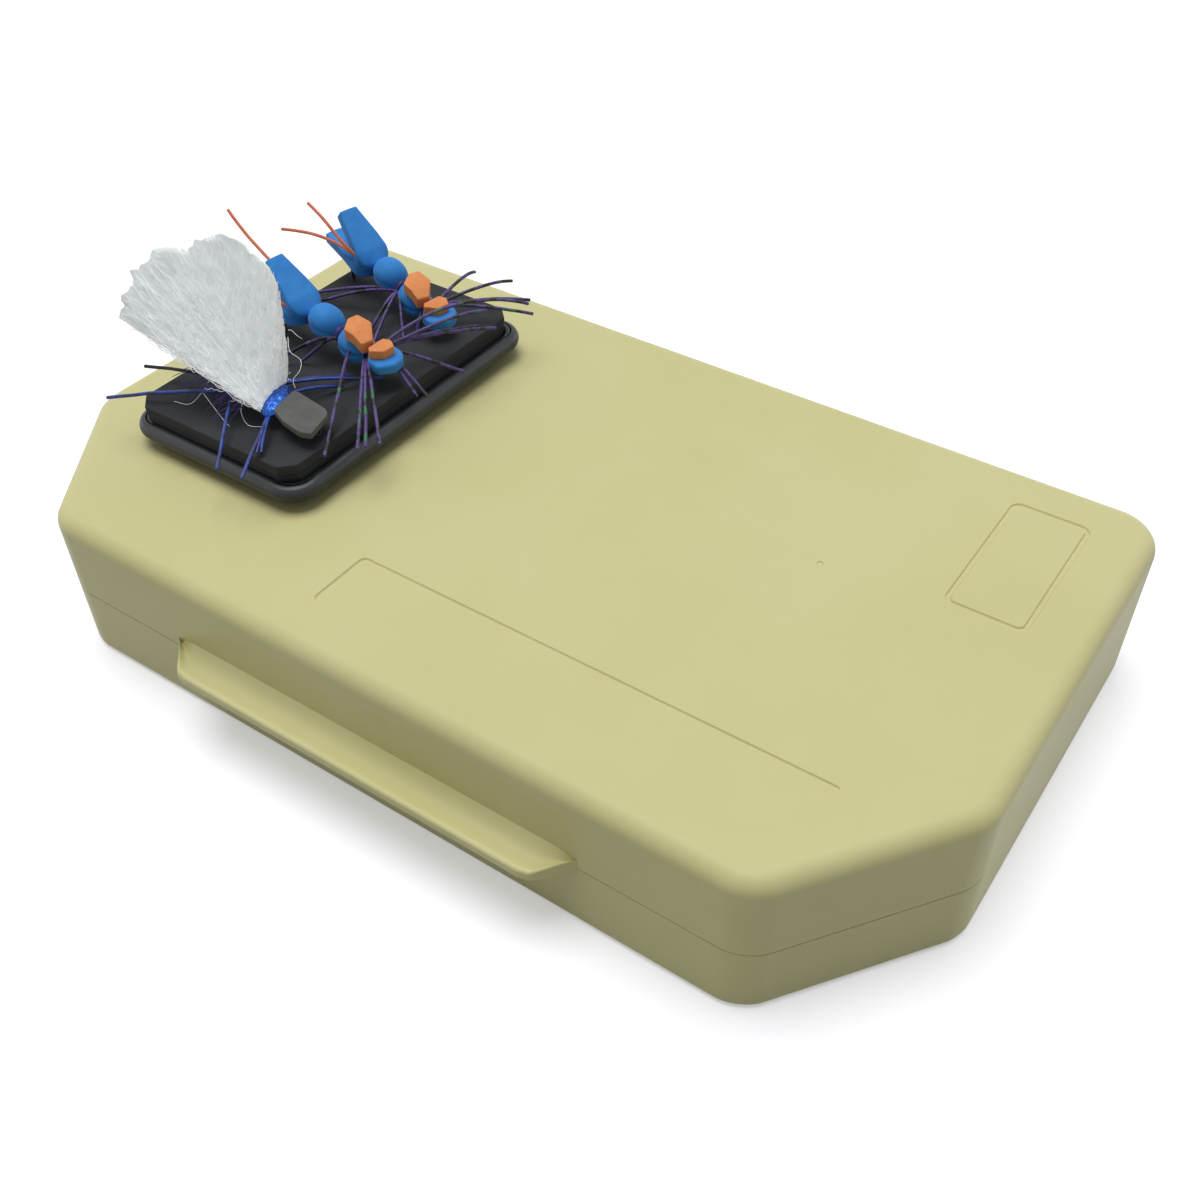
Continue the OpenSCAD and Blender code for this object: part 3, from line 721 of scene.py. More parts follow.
class Finishes:
    """Every finish of the fly box, made once."""

    def __init__(self) -> None:
        """Makes the materials."""
        # Moulded polypropylene in sand green, with a fine spark-eroded grain: a satin skin
        # whose highlights are wide and soft. The grain is drawn at twice its real size.
        self.case = Finish("moulded_polypropylene", "CCC894", "C8C48D", 38.0, 0.46, 0.05,
                           0.5, 0.03, 0.22, specular=0.24, subsurface=0.04).build()
        # Ground steel pin: fine turning marks and a bright, slightly blurred mirror.
        self.steel = Finish("ground_steel", "B9BABC", "A9AAAD", 6.0, 0.28, 0.08,
                            0.25, 0.01, 0.2, metallic=1.0).build()
        # Nickel plated magnet: brighter and smoother than the steel.
        self.nickel = Finish("nickel_plate", "C8C6C0", "BDBBB4", 9.0, 0.2, 0.06,
                             0.4, 0.006, 0.12, metallic=1.0).build()
        # Cross-linked polyethylene foam of the liners: charcoal, matt, with open cut cells.
        self.liner_foam = ClosedCellFoam("liner_foam", "2B2B2D", "242426", 14.0, 0.93, 0.04,
                                         0.45, 0.08, 0.6, specular=0.2).build()
        # The caddy's foam is the same sheet with a finer cell.
        self.caddy_foam = ClosedCellFoam("caddy_foam", "393B3E", "323437", 9.0, 0.92, 0.05,
                                         0.4, 0.05, 0.45, specular=0.2).build()
        # Soft-touch moulded rim of the caddy: blue-black with a low wide gloss.
        self.caddy_plastic = Finish("soft_touch_plastic", "1F2227", "1A1D22", 12.0, 0.4, 0.07,
                                    0.35, 0.015, 0.2, specular=0.45).build()
        # Rubber foot: matt black with a dusty bloom.
        self.foot_rubber = Finish("foot_rubber", "18181A", "202022", 7.0, 0.8, 0.08,
                                  0.4, 0.02, 0.35, specular=0.3).build()
        # Black nickel hook wire.
        self.hook_wire = Finish("black_nickel_wire", "2A2A2E", "1C1C20", 3.0, 0.32, 0.08,
                                0.3, 0.006, 0.15, metallic=0.8).build()
        # Dubbed fur of the hidden underbody: black with a blue cast.
        self.dubbing = Finish("black_dubbing", "15151C", "23213A", 1.4, 0.85, 0.08,
                              0.25, 0.04, 0.5, specular=0.25, sheen=0.3).build()
        # Wound flat tinsel: metal film in royal blue, bright on each turn.
        self.tinsel = Finish("blue_tinsel", "2468C8", "163A8F", 0.9, 0.3, 0.12,
                             0.3, 0.03, 0.5, metallic=0.55).build()
        # Craft foam of the flies: soft closed cells under a smooth skin, in three dyes.
        self.blue_foam = ClosedCellFoam("blue_craft_foam", "3489D6", "2E7ECB", 3.0, 0.72, 0.06,
                                        0.28, 0.03, 0.35, specular=0.3, sheen=0.05).build()
        self.orange_foam = ClosedCellFoam("orange_craft_foam", "DF935A", "D6844E", 2.4, 0.74,
                                          0.06, 0.28, 0.03, 0.35, specular=0.3).build()
        self.grey_foam = ClosedCellFoam("grey_craft_foam", "62625F", "585856", 2.8, 0.82, 0.05,
                                        0.28, 0.035, 0.4, specular=0.25).build()
        # Crinkled polyester yarn of the wing: white with a dry sheen, and with a painted glow:
        # a weak emission that lifts the shade the fibres cast on each other.
        self.wing_fibre = Finish("white_wing_fibre", "F8FAFB", "E4E8EA", 1.5, 0.6, 0.1,
                                 0.3, 0.04, 0.5, specular=0.3, sheen=0.2, glow=0.16).build()
        # The same yarn packed into felt at the wing's heart, with a weaker painted glow.
        self.wing_felt = Finish("packed_wing_fibre", "ECF0F3", "E2E7EA", 4.0, 0.7, 0.1,
                                0.45, 0.06, 0.6, specular=0.2, sheen=0.2, glow=0.13).build()
        # Waxed floss of the bindings.
        self.thread = Finish("purple_floss", "43317A", "2E2358", 0.8, 0.5, 0.08,
                             0.12, 0.02, 0.5, specular=0.4).build()
        # Rubber legs: purple barred with black and flecked with green, and plain royal blue.
        self.purple_legs = BarredRubber("purple_barred_rubber", "5A4580", "3C2E66", 1.1, 0.5,
                                        0.08, 0.3, 0.02, 0.3, specular=0.4,
                                        fleck_share=0.07).build()
        self.blue_legs = BarredRubber("royal_blue_rubber", "2445A2", "20357F", 1.6, 0.42, 0.08,
                                      0.3, 0.02, 0.25, specular=0.45, bar="1C2560").build()
        # Orange tail strands, plain and slightly translucent.
        self.orange_legs = Finish("orange_rubber", "E07A50", "CE6C48", 1.8, 0.48, 0.06,
                                  0.3, 0.02, 0.25, specular=0.4, subsurface=0.1).build()


def seat(piece: Piece, body: Body, slot: str, finish: Material, *nodes: str) -> None:
    """Gives a finished piece its finish, its body and the nodes it stands for.

    Args:
        piece: The finished piece.
        body: The body it moves with.
        slot: Not used.
        finish: Its material.
        nodes: The CAD nodes that it replaces.
    """
    piece.data.materials.clear()
    piece.data.materials.append(finish)
    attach(piece, body.value)
    if nodes:
        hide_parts(*nodes)
    LOG.info("%s rides on %s: %d faces", piece.name, body.value, len(piece.data.polygons))


def dress_node(node: str, finish: Material) -> None:
    """Gives a CAD node that stays its material.

    Args:
        node: The node's name.
        finish: Its material.
    """
    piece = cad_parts[node]
    piece.data.materials.clear()
    piece.data.materials.append(finish)
    LOG.info("%s keeps its shape and gets %s", node, finish.name)


# ---------- Case


@dataclass
class CaseOutline:
    """Plan of the case: a rectangle with two slanted front corners."""

    width: float = 185.0
    depth: float = 108.0
    cut_x: float = 22.0
    cut_y: float = 30.0
    cut_radius: float = 8.3
    rear_radius: float = 8.6
    slanted: tuple[int, int] = (0, 4)

    def __post_init__(self) -> None:
        """Works out the corners, the walls between them and the middles of the rounds."""
        half_w, half_d = self.width / 2, self.depth / 2
        self.corners = [
            Vector((half_w - self.cut_x, -half_d)), Vector((half_w, self.cut_y - half_d)),
            Vector((half_w, half_d)), Vector((-half_w, half_d)),
            Vector((-half_w, self.cut_y - half_d)), Vector((self.cut_x - half_w, -half_d))]
        self.radii = [self.cut_radius] * 2 + [self.rear_radius] * 2 + [self.cut_radius] * 2
        self.walls = []
        for here, after in zip(self.corners, self.corners[1:] + self.corners[:1]):
            along = (after - here).normalized()
            self.walls.append(Vector((along.y, -along.x)))
        self.centres = [self.corner(index, radius) for index, radius in enumerate(self.radii)]

    def corner(self, index: int, inset: float) -> Vector:
        """A sharp corner of the outline.

        Args:
            index: Which corner.
            inset: How far the outline is moved inwards.

        Returns:
            The corner.
        """
        first, second = self.walls[index - 1], self.walls[index]
        middle = (first + second).normalized()
        return self.corners[index] - middle * inset / middle.dot(first)

    def depth_inside(self, x: float, y: float) -> float:
        """How far a point lies inside the rounded outline.

        Args:
            x: Place along X.
            y: Place along Y.

        Returns:
            The distance to the outline, negative outside it.
        """
        point = Vector((x, y))
        for index, centre in enumerate(self.centres):
            arm = point - centre
            first, second = self.walls[index - 1], self.walls[index]
            if first.cross(arm) >= 0 and arm.cross(second) >= 0 and arm.dot(first + second) > 0:
                return self.radii[index] - arm.length
        return min((corner - point).dot(wall) for corner, wall in zip(self.corners, self.walls))

    def slant_off(self, piece: Piece, inset: float) -> None:
        """Cuts a piece's front corners off along the slanted walls.

        Args:
            piece: The piece.
            inset: How far the walls are moved inwards.
        """
        for index in self.slanted:
            place, wall = self.corner(index, inset), self.walls[index]
            slice_off(piece, (place.x, place.y, 0.0), (wall.x, wall.y, 0.0))

    def slab(self, name: str, low: float, high: float, inset: float = 0.0,
             segments: int = 18) -> Piece:
        """A slab with the case's plan, its upright edges rounded.

        Args:
            name: The piece's name.
            low: Height of its underside.
            high: Height of its upper side.
            inset: How far the outline is moved inwards.
            segments: Segments round a rear corner.

        Returns:
            The slab.
        """
        piece = add_block(name, (self.width - 2 * inset, self.depth - 2 * inset, high - low),
                          (0.0, 0.0, (low + high) / 2))
        self.slant_off(piece, inset)
        for index, radius in enumerate(self.radii):
            place = self.corner(index, inset)
            turn = self.walls[index - 1].angle(self.walls[index])
            bevel_edges(piece, (radius - inset) * math.tan(turn / 2),
                        max(4, round(segments * turn / (math.pi / 2))),
                        lambda edge: all((vert.co.xy / MM - place).length < NEAR
                                         for vert in edge.verts))
        return piece

    def on_loop(self, edge: Edge, z: float, inset: float) -> bool:
        """Whether an edge runs along the outline, at a height and an inset."""
        return level(edge, z) and all(
            abs(self.depth_inside(vert.co.x / MM, vert.co.y / MM) - inset) < LOOP_SAG
            for vert in edge.verts)


@dataclass
class CaseSizes:
    """Sizes that the two shells share."""

    seam: float = 13.9
    seam_gap: float = 0.12
    height: float = 30.2
    wall: float = 2.2
    floor: float = 2.0
    top: float = 2.2
    tongue_thick: float = 0.9
    tongue_high: float = 1.5
    tongue_clear: float = 0.3
    magnet_radius: float = 4.0
    magnet_thick: float = 3.0
    magnet_clear: float = 0.02
    seat_wall: float = 1.2
    post_nearer: float = 0.8
    post_sunk: float = 1.0
    hinge_x: float = 52.0
    axis_y: float = 56.7
    axis_z: float = 14.0
    knuckle_radius: float = 2.4
    lid_knuckle: float = 14.0
    base_knuckle: float = 8.0
    knuckle_gap: float = 0.3
    knuckle_break: float = 0.25
    web_short: float = 0.5
    pin_radius: float = 1.0
    pin_clear: float = 0.06
    bore_over: float = 2.0
    edge_break: float = 0.09
    floor_round: float = 0.7

    def magnet_places(self, outline: CaseOutline) -> list[Vector]:
        """Middles of the two closing magnets, behind the slanted corners.

        Args:
            outline: The case's plan.

        Returns:
            Their places.
        """
        inwards = self.wall + self.magnet_radius + self.seat_wall - self.post_nearer
        places = []
        for index in outline.slanted:
            middle = (outline.corners[index] + outline.corners[index + 1]) / 2
            places.append(middle - outline.walls[index] * inwards)
        return places

    def on_axis(self, name: str, radius: float, length: float, x: float,
                sides: int = PIN_SIDES) -> Piece:
        """A cylinder on the hinges' axis, with its middle at x."""
        return add_round(name, radius, length, (x, self.axis_y, self.axis_z), sides, along_x=True)

    def knuckle(self, length: float, x: float, upper: bool) -> Piece:
        """A hinge knuckle with the web that ties it to its shell.

        Args:
            length: Length along X.
            x: Its middle along X.
            upper: Whether it belongs to the lid.

        Returns:
            The knuckle.
        """
        barrel = self.on_axis("knuckle", self.knuckle_radius, length, x, sides=40)
        bevel_edges(barrel, self.knuckle_break, 2, lambda edge: square_to(edge, 0))
        web_y = self.knuckle_radius + self.knuckle_gap + self.wall / 2
        web_high = self.knuckle_radius - self.seam_gap / 2
        shift = (web_high + self.seam_gap) / 2 * (1 if upper else -1)
        web = add_block("web", (length - self.web_short, web_y, web_high),
                        (x, self.axis_y - web_y / 2, self.axis_z + shift))
        work_in(barrel, web, Joinery.ADD)
        return barrel


@dataclass
class BaseShell:
    """The lower shell: a tray with a tongue round its rim."""

    outline: CaseOutline
    sizes: CaseSizes
    foot_round: float = 1.4

    def build(self, finish: Material) -> None:
        """Models the shell and seats it.

        Args:
            finish: Its material.
        """
        sizes, outline = self.sizes, self.outline
        shell = outline.slab("case_base", 0.0, sizes.seam)
        bevel_level(shell, self.foot_round, 5, 0.0)
        with editing(shell, Mode.FACES):
            pick(shell, Mode.FACES, lambda face: level(face, sizes.seam))
            step_in(sizes.wall - sizes.tongue_thick, sizes.tongue_high)
            step_in(sizes.tongue_thick, sizes.floor - sizes.seam - sizes.tongue_high)
        bevel_level(shell, sizes.floor_round, 3, sizes.floor)
        bevel_edges(shell, sizes.edge_break, 2, lambda edge: outline.on_loop(edge, sizes.seam, 0.0))
        over = 3.0
        for place in sizes.magnet_places(outline):
            post = add_round("post", sizes.magnet_radius + sizes.seat_wall,
                             sizes.seam - sizes.post_sunk,
                             (place.x, place.y, (sizes.seam + sizes.post_sunk) / 2))
            work_in(shell, post, Joinery.ADD)
            hole = add_round("hole", sizes.magnet_radius + sizes.magnet_clear,
                             sizes.magnet_thick + over,
                             (place.x, place.y, sizes.seam - sizes.magnet_thick / 2 + over / 2))
            work_in(shell, hole, Joinery.CUT)
        reach = (sizes.lid_knuckle + sizes.base_knuckle) / 2 + sizes.knuckle_gap
        for hinge in (-sizes.hinge_x, sizes.hinge_x):
            for side in (-1, 1):
                part = sizes.knuckle(sizes.base_knuckle, hinge + side * reach, upper=False)
                work_in(shell, part, Joinery.ADD)
            bore = sizes.on_axis(
                "bore", sizes.pin_radius, 2 * reach + sizes.base_knuckle + sizes.bore_over, hinge)
            work_in(shell, bore, Joinery.CUT)
        smooth(shell)
        seat(shell, Body.BASE, "case_plastic", finish, "base_shell")


@dataclass
class LidShell:
    """The upper shell: a rounded top with a label panel, a badge frame and a lift lip."""

    outline: CaseOutline
    sizes: CaseSizes
    top_round: float = 3.2
    lip_width: float = 85.0
    lip_reach: float = 6.0
    lip_slant: float = 5.5
    lip_drop: float = 0.9
    lip_top: float = 1.2
    lip_root: float = 2.6
    lip_scoop: float = 0.9
    lip_sink: float = 0.25
    lip_under: float = 0.06
    lip_nose: float = 0.85
    mark_depth: float = 0.3
    panel_corner: float = 1.3
    panel_slope: float = 0.2
    groove_slope: float = 0.2
    panel_x: Number2 = (-17.6, 72.5)
    panel_y: Number2 = (-44.0, -31.2)
    badge_size: Number2 = (14.4, 31.3)
    badge_place: Number2 = (74.7, 28.45)
    badge_corner: float = 2.0
    groove: float = 1.0
    gate_place: Number2 = (47.0, 10.0)
    gate_radius: float = 0.6
    gate_round: float = 0.25
    gate_depth: float = 0.2

    def build(self, finish: Material) -> None:
        """Models the shell and seats it.

        Args:
            finish: Its material.
        """
        sizes, outline = self.sizes, self.outline
        rim = sizes.seam + sizes.seam_gap
        groove_top = sizes.seam + sizes.tongue_high + sizes.tongue_clear
        shell = outline.slab("case_lid", rim, sizes.height)
        bevel_level(shell, self.top_round, 9, sizes.height)
        lip_wall = sizes.wall - sizes.tongue_thick - sizes.tongue_clear
        ceiling = sizes.height - sizes.top
        with editing(shell, Mode.FACES):
            pick(shell, Mode.FACES, lambda face: level(face, rim))
            step_in(lip_wall, groove_top - rim)
            step_in(sizes.wall - lip_wall, ceiling - groove_top)
        bevel_level(shell, sizes.floor_round, 3, ceiling)
        bevel_edges(shell, sizes.edge_break, 2, lambda edge: outline.on_loop(edge, rim, 0.0))
        work_in(shell, self.lift_lip(rim), Joinery.ADD)
        self.add_magnet_posts(shell, rim)
        for hinge in (-sizes.hinge_x, sizes.hinge_x):
            work_in(shell, sizes.knuckle(sizes.lid_knuckle, hinge, upper=True), Joinery.ADD)
            bore = sizes.on_axis("bore", sizes.pin_radius + sizes.pin_clear,
                                 sizes.lid_knuckle + sizes.bore_over, hinge)
            work_in(shell, bore, Joinery.CUT)
        for tool in (self.panel_tool(), self.badge_tool(), self.gate_tool()):
            work_in(shell, tool, Joinery.CUT)
        smooth(shell, crease=self.at_lip_root)
        seat(shell, Body.LID, "case_plastic", finish, "lid_shell")

    def at_lip_root(self, edge: Edge) -> bool:
        """Whether an edge parts the front wall from the lift lip.

        Args:
            edge: The edge.

        Returns:
            Whether it does.
        """
        beside, over = 12.0, 1.0
        flat = [face.normal.y < -0.9999 for face in edge.link_faces]
        clear = (self.lip_width / 2 + beside) * MM
        return (any(flat) and not all(flat)
                and any(abs(vert.co.x) < clear for vert in edge.verts)
                and all(vert.co.z < (self.sizes.seam + self.lip_root + over) * MM
                        for vert in edge.verts))

    def add_magnet_posts(self, shell: Piece, rim: float) -> None:
        """Adds the two magnet posts, stepped clear of the base's tongue.

        Args:
            shell: The lid.
            rim: Height of the lid's rim.
        """
        sizes, outline = self.sizes, self.outline
        radius = sizes.magnet_radius + sizes.seat_wall
        foot_high, over = 3.0, 1.0
        for index, place in zip(outline.slanted, sizes.magnet_places(outline)):
            wall = outline.walls[index]
            clear = outline.corners[index] - wall * (sizes.wall + sizes.tongue_clear)
            foot = add_round("foot", radius, foot_high, (place.x, place.y, rim + foot_high / 2))
            slice_off(foot, (clear.x, clear.y, rim), (wall.x, wall.y, 0.0))
            post = add_round("post", radius, sizes.height - rim - foot_high,
                             (place.x, place.y, (sizes.height + rim + sizes.post_sunk) / 2))
            work_in(post, foot, Joinery.ADD)
            work_in(shell, post, Joinery.ADD)
            hole = add_round("hole", sizes.magnet_radius + sizes.magnet_clear,
                             sizes.magnet_thick + over,
                             (place.x, place.y, rim + sizes.magnet_thick / 2 - over / 2))
            work_in(shell, hole, Joinery.CUT)

    def lip_profile(self, share: float, upper: bool) -> Number2:
        """Section of the lift lip.

        Args:
            share: Place from the wall, 0, to the nose, 1.
            upper: Whether the upper or the lower face is meant.

        Returns:
            The distance from the wall and the height above the rim.
        """
        shelf_share, nose_share = 0.7, 0.3
        flat = self.lip_reach - self.lip_nose
        if share < shelf_share:
            part = share / shelf_share
            reach = flat * part
            if upper:
                fall = (self.lip_root - self.lip_top) * (1 - part) ** 2
                dip = self.lip_scoop * math.sin(math.pi * part) ** 1.2
                return reach, self.lip_top + fall - dip * (1 - 0.35 * part)
            return reach, (
                self.lip_under - (self.lip_drop + self.lip_under) * ease(0.12, 0.5, part))
        angle = (share - shelf_share) / nose_share * math.pi / 2
        middle = (self.lip_top - self.lip_drop) / 2
        half = (self.lip_top + self.lip_drop) / 2
        height = half * math.cos(angle) ** 0.5
        return flat + self.lip_nose * math.sin(angle), middle + (height if upper else -height)

    def lift_lip(self, rim: float) -> Piece:
        """The lift lip: a scooped shelf whose slanted ends sweep back into the wall.

        Args:
            rim: Height of the lid's rim.

        Returns:
            The lip, with its root inside the wall.
        """
        front = -self.outline.depth / 2
        inside = self.sizes.wall / 2
        lip = subdivided_block("lift_lip", (71, 27, 1))

        def place(spot: Vector) -> Vector:
            """Bends the block's grid into the lip.

            Args:
                spot: A corner of the block.

            Returns:
                Its place on the lip.
            """
            along = math.copysign(1.0 - (1.0 - abs(spot.x)) ** 1.6, spot.x)
            x = along * self.lip_width / 2
            inwards = (self.lip_width / 2 - abs(x)) / self.lip_slant
            swell = min(1.0, max(0.0, inwards)) ** 1.15
            round_off = 1.0 - 0.5 * max(0.0, 1.0 - abs(inwards - 1.05) / 0.35) ** 2 * 0.18
            reach = swell * round_off
            share = max(0.0, (0.86 - spot.y) / 1.86)
            if spot.y > 0.9:
                y, upper_z, lower_z = -inside, self.lip_root, self.lip_under
            else:
                y, upper_z = self.lip_profile(share, True)
                lower_z = self.lip_profile(share, False)[1]
                y = y * reach - self.lip_sink * (1.0 - swell)
                lift = (1.0 - swell) * (self.lip_root - self.lip_top) * 0.8
                upper_z += lift * ease(0.0, 1.0, share)
            part = (spot.z + 1.0) / 2
            return Vector((x, front - y, rim + lower_z + (upper_z - lower_z) * part))

        reshape(lip, place)
        outward(lip)
        return lip

    def panel_tool(self) -> Piece:
        """The label panel's cutter, its right end parallel to the slanted corner.

        Returns:
            The cutter.
        """
        (x0, x1), (y0, y1) = self.panel_x, self.panel_y
        over, high = 0.1, 1.0
        grown = self.panel_slope * over / self.mark_depth
        low = self.sizes.height + over
        tool = add_block("panel", (x1 - x0 + 2 * grown, y1 - y0 + 2 * grown, high),
                         ((x0 + x1) / 2, (y0 + y1) / 2, low + high / 2))
        wall = self.outline.walls[0]
        slice_off(tool, (x1 + wall.x * grown, y1 + wall.y * grown, low), (wall.x, wall.y, 0.0))
        bevel_edges(tool, self.panel_corner, 5, upright)
        with editing(tool, Mode.FACES):
            pick(tool, Mode.FACES, lambda face: level(face, low))
            bpy.ops.mesh.inset(thickness=(self.panel_slope + grown) * MM,
                               depth=(self.mark_depth + over) * MM, use_even_offset=True)
        return tool

    def badge_tool(self) -> Piece:
        """The badge frame's cutter, a narrow rounded ring.

        Returns:
            The cutter.
        """
        base, high = self.sizes.height - self.mark_depth, 1.0
        tool = add_block("badge", (*self.badge_size, high), (*self.badge_place, base + high / 2))
        bevel_edges(tool, self.badge_corner, 6, upright)
        with editing(tool, Mode.FACES):
            pick(tool, Mode.FACES, lambda face: level(face, base) or level(face, base + high))
            bpy.ops.mesh.inset(thickness=self.groove * MM, use_even_offset=True)
            bpy.ops.mesh.bridge_edge_loops()
        middle = Vector(self.badge_place)
        core = Vector(self.badge_size) / 2 - Vector((self.badge_corner, self.badge_corner))

        def lean(spot: Vector) -> Vector:
            """Leans the ring's walls, so that the groove narrows towards its floor.

            Args:
                spot: A corner of the ring.

            Returns:
                Its place on the leaning wall.
            """
            arm = spot.xy - middle
            near = Vector((max(-core.x, min(core.x, arm.x)), max(-core.y, min(core.y, arm.y))))
            out = arm - near
            shift = self.groove_slope * ((spot.z - base) / self.mark_depth - 1.0)
            outer = out.length > self.badge_corner - self.groove / 2
            flat = middle + near + out.normalized() * (out.length + (shift if outer else -shift))
            return Vector((flat.x, flat.y, spot.z))

        reshape(tool, lean)
        outward(tool)
        return tool

    def gate_tool(self) -> Piece:
        """The cutter of the small dimple that the moulding gate left.

        Returns:
            The cutter.
        """
        low, high = self.sizes.height - self.gate_depth, 1.0
        tool = add_round(
            "gate", self.gate_radius, high, (*self.gate_place, low + high / 2), sides=20)
        bevel_level(tool, self.gate_round, 3, low)
        return tool


@dataclass
class FoamLiner:
    """A foam sheet with slit ridges, cut to the inside of a shell."""

    outline: CaseOutline
    sizes: CaseSizes
    sheet: float = 3.0
    ridge_high: float = 3.0
    ridge_wide: float = 6.0
    ridge_round: float = 1.0
    pitch: float = 9.5
    slit: float = 0.6
    slit_floor: float = 0.6
    slit_end: float = 6.0
    sheet_round: float = 0.4
    clear: float = 0.4
    keeper: Number3 = (34.0, 41.0, 0.8)

    def ridge(self, root: float, way: int) -> Piece:
        """One ridge at the middle of the sheet: a bar with broken edges and a slit.

        Args:
            root: Height of the sheet's face.
            way: 1 if the ridge points up and -1 if it points down.

        Returns:
            The ridge.
        """
        sunk = 0.5
        high = self.ridge_high + sunk
        tip = root + way * self.ridge_high
        bar = add_block(
            "ridge", (self.outline.width, self.ridge_wide, high), (0.0, 0.0, tip - way * high / 2))
        bevel_edges(bar, self.ridge_round, 3, lambda edge: level(edge, tip) and square_to(edge, 1))
        end, slack = self.outline.width / 2 - self.slit_end, 0.1
        with editing(bar, Mode.FACES):
            for axis, place in ((1, self.slit / 2), (0, end)):
                cut_across(axis, -place)
                cut_across(axis, place)
            pick(bar, Mode.FACES, lambda face: level(face, tip) and all(
                abs(vert.co.y) < (self.slit / 2 + NEAR) * MM
                and abs(vert.co.x) < (end + slack) * MM for vert in face.verts))
            bpy.ops.mesh.extrude_region_move(TRANSFORM_OT_translate={
                "value": (0.0, 0.0, -way * (self.ridge_high - self.slit_floor) * MM)})
        return bar

    def build(self, name: str, root: float, way: int, body: Body,
              finish: Material, node: str) -> None:
        """Models a liner and seats it.

        Args:
            name: The piece's name.
            root: Height of the shell's face that it lies on.
            way: 1 for the base and -1 for the lid.
            body: The body it moves with.
            finish: Its material.
            node: The CAD node it stands for.
        """
        inset = self.sizes.wall + self.clear
        face = root + way * self.sheet
        liner = self.outline.slab(name, min(root, face), max(root, face), inset, segments=10)
        bevel_level(liner, self.sheet_round, 2, face)
        span = self.outline.depth - 2 * inset
        count = int((span - self.ridge_wide) / self.pitch)
        first = -count * self.pitch / 2
        pattern = self.ridge(face, way)
        parts = []
        for index in range(count + 1):
            y = first + index * self.pitch
            bar = copy_piece(pattern, f"ridge_{index}", Matrix.Translation((0.0, y * MM, 0.0)))
            half = self.outline.width / 2 - inset
            for side in (-1, 1):
                slice_off(bar, (side * half, 0.0, 0.0), (side, 0.0, 0.0))
            self.outline.slant_off(bar, inset)
            parts.append(bar)
        bpy.data.objects.remove(pattern)
        radius = self.sizes.magnet_radius + self.sizes.seat_wall + self.clear
        near, hole_high = radius + self.ridge_wide / 2, 14.0
        for place in self.sizes.magnet_places(self.outline):
            for part in [liner, *parts]:
                if part is liner or min(abs(corner[1] / MM - place.y)
                                        for corner in part.bound_box) < near:
                    work_in(part, add_round("hole", radius, hole_high, (place.x, place.y, face)),
                            Joinery.CUT)
        if way < 0:
            width, length, thick = self.keeper
            pocket = add_block("pocket", (width + 2 * self.clear, length + 2 * self.clear,
                                          2 * thick), (*CaddySizes.centre, root))
            work_in(liner, pocket, Joinery.CUT)
        join_pieces(liner, *parts)
        smooth(liner, angle=40.0)
        seat(liner, body, "liner_foam", finish, node)


# ---------- Caddy


@dataclass
class CaddySizes:
    """Sizes of the magnetic caddy, with heights above the ground when the case is shut."""

    centre: Number2 = (-54.2, 2.8)
    rim: Number2 = (42.7, 67.2)
    rim_corner: float = 5.6
    bead: float = 1.6
    bead_share: float = 0.96
    bead_flat: float = 0.05
    lid_top: float = 30.2
    tray_bottom: float = 32.1
    tray_thick: float = 1.2
    foot: Number2 = (36.0, 43.0)
    foot_corner: float = 3.0
    foot_break: float = 0.3
    foot_hole: Number2 = (4.02, 1.3)
    hole_under: float = 0.6
    foam_centre: Number2 = (-54.6, 2.8)
    block: Number2 = (38.0, 63.6)
    block_under: Number2 = (37.5, 63.1)
    sheet_foot: Number2 = (36.7, 61.4)
    sheet_top: Number2 = (37.7, 63.3)
    block_cut: float = 2.6
    foam_break: float = 0.22
    lower_top: float = 36.3
    block_top: float = 38.7


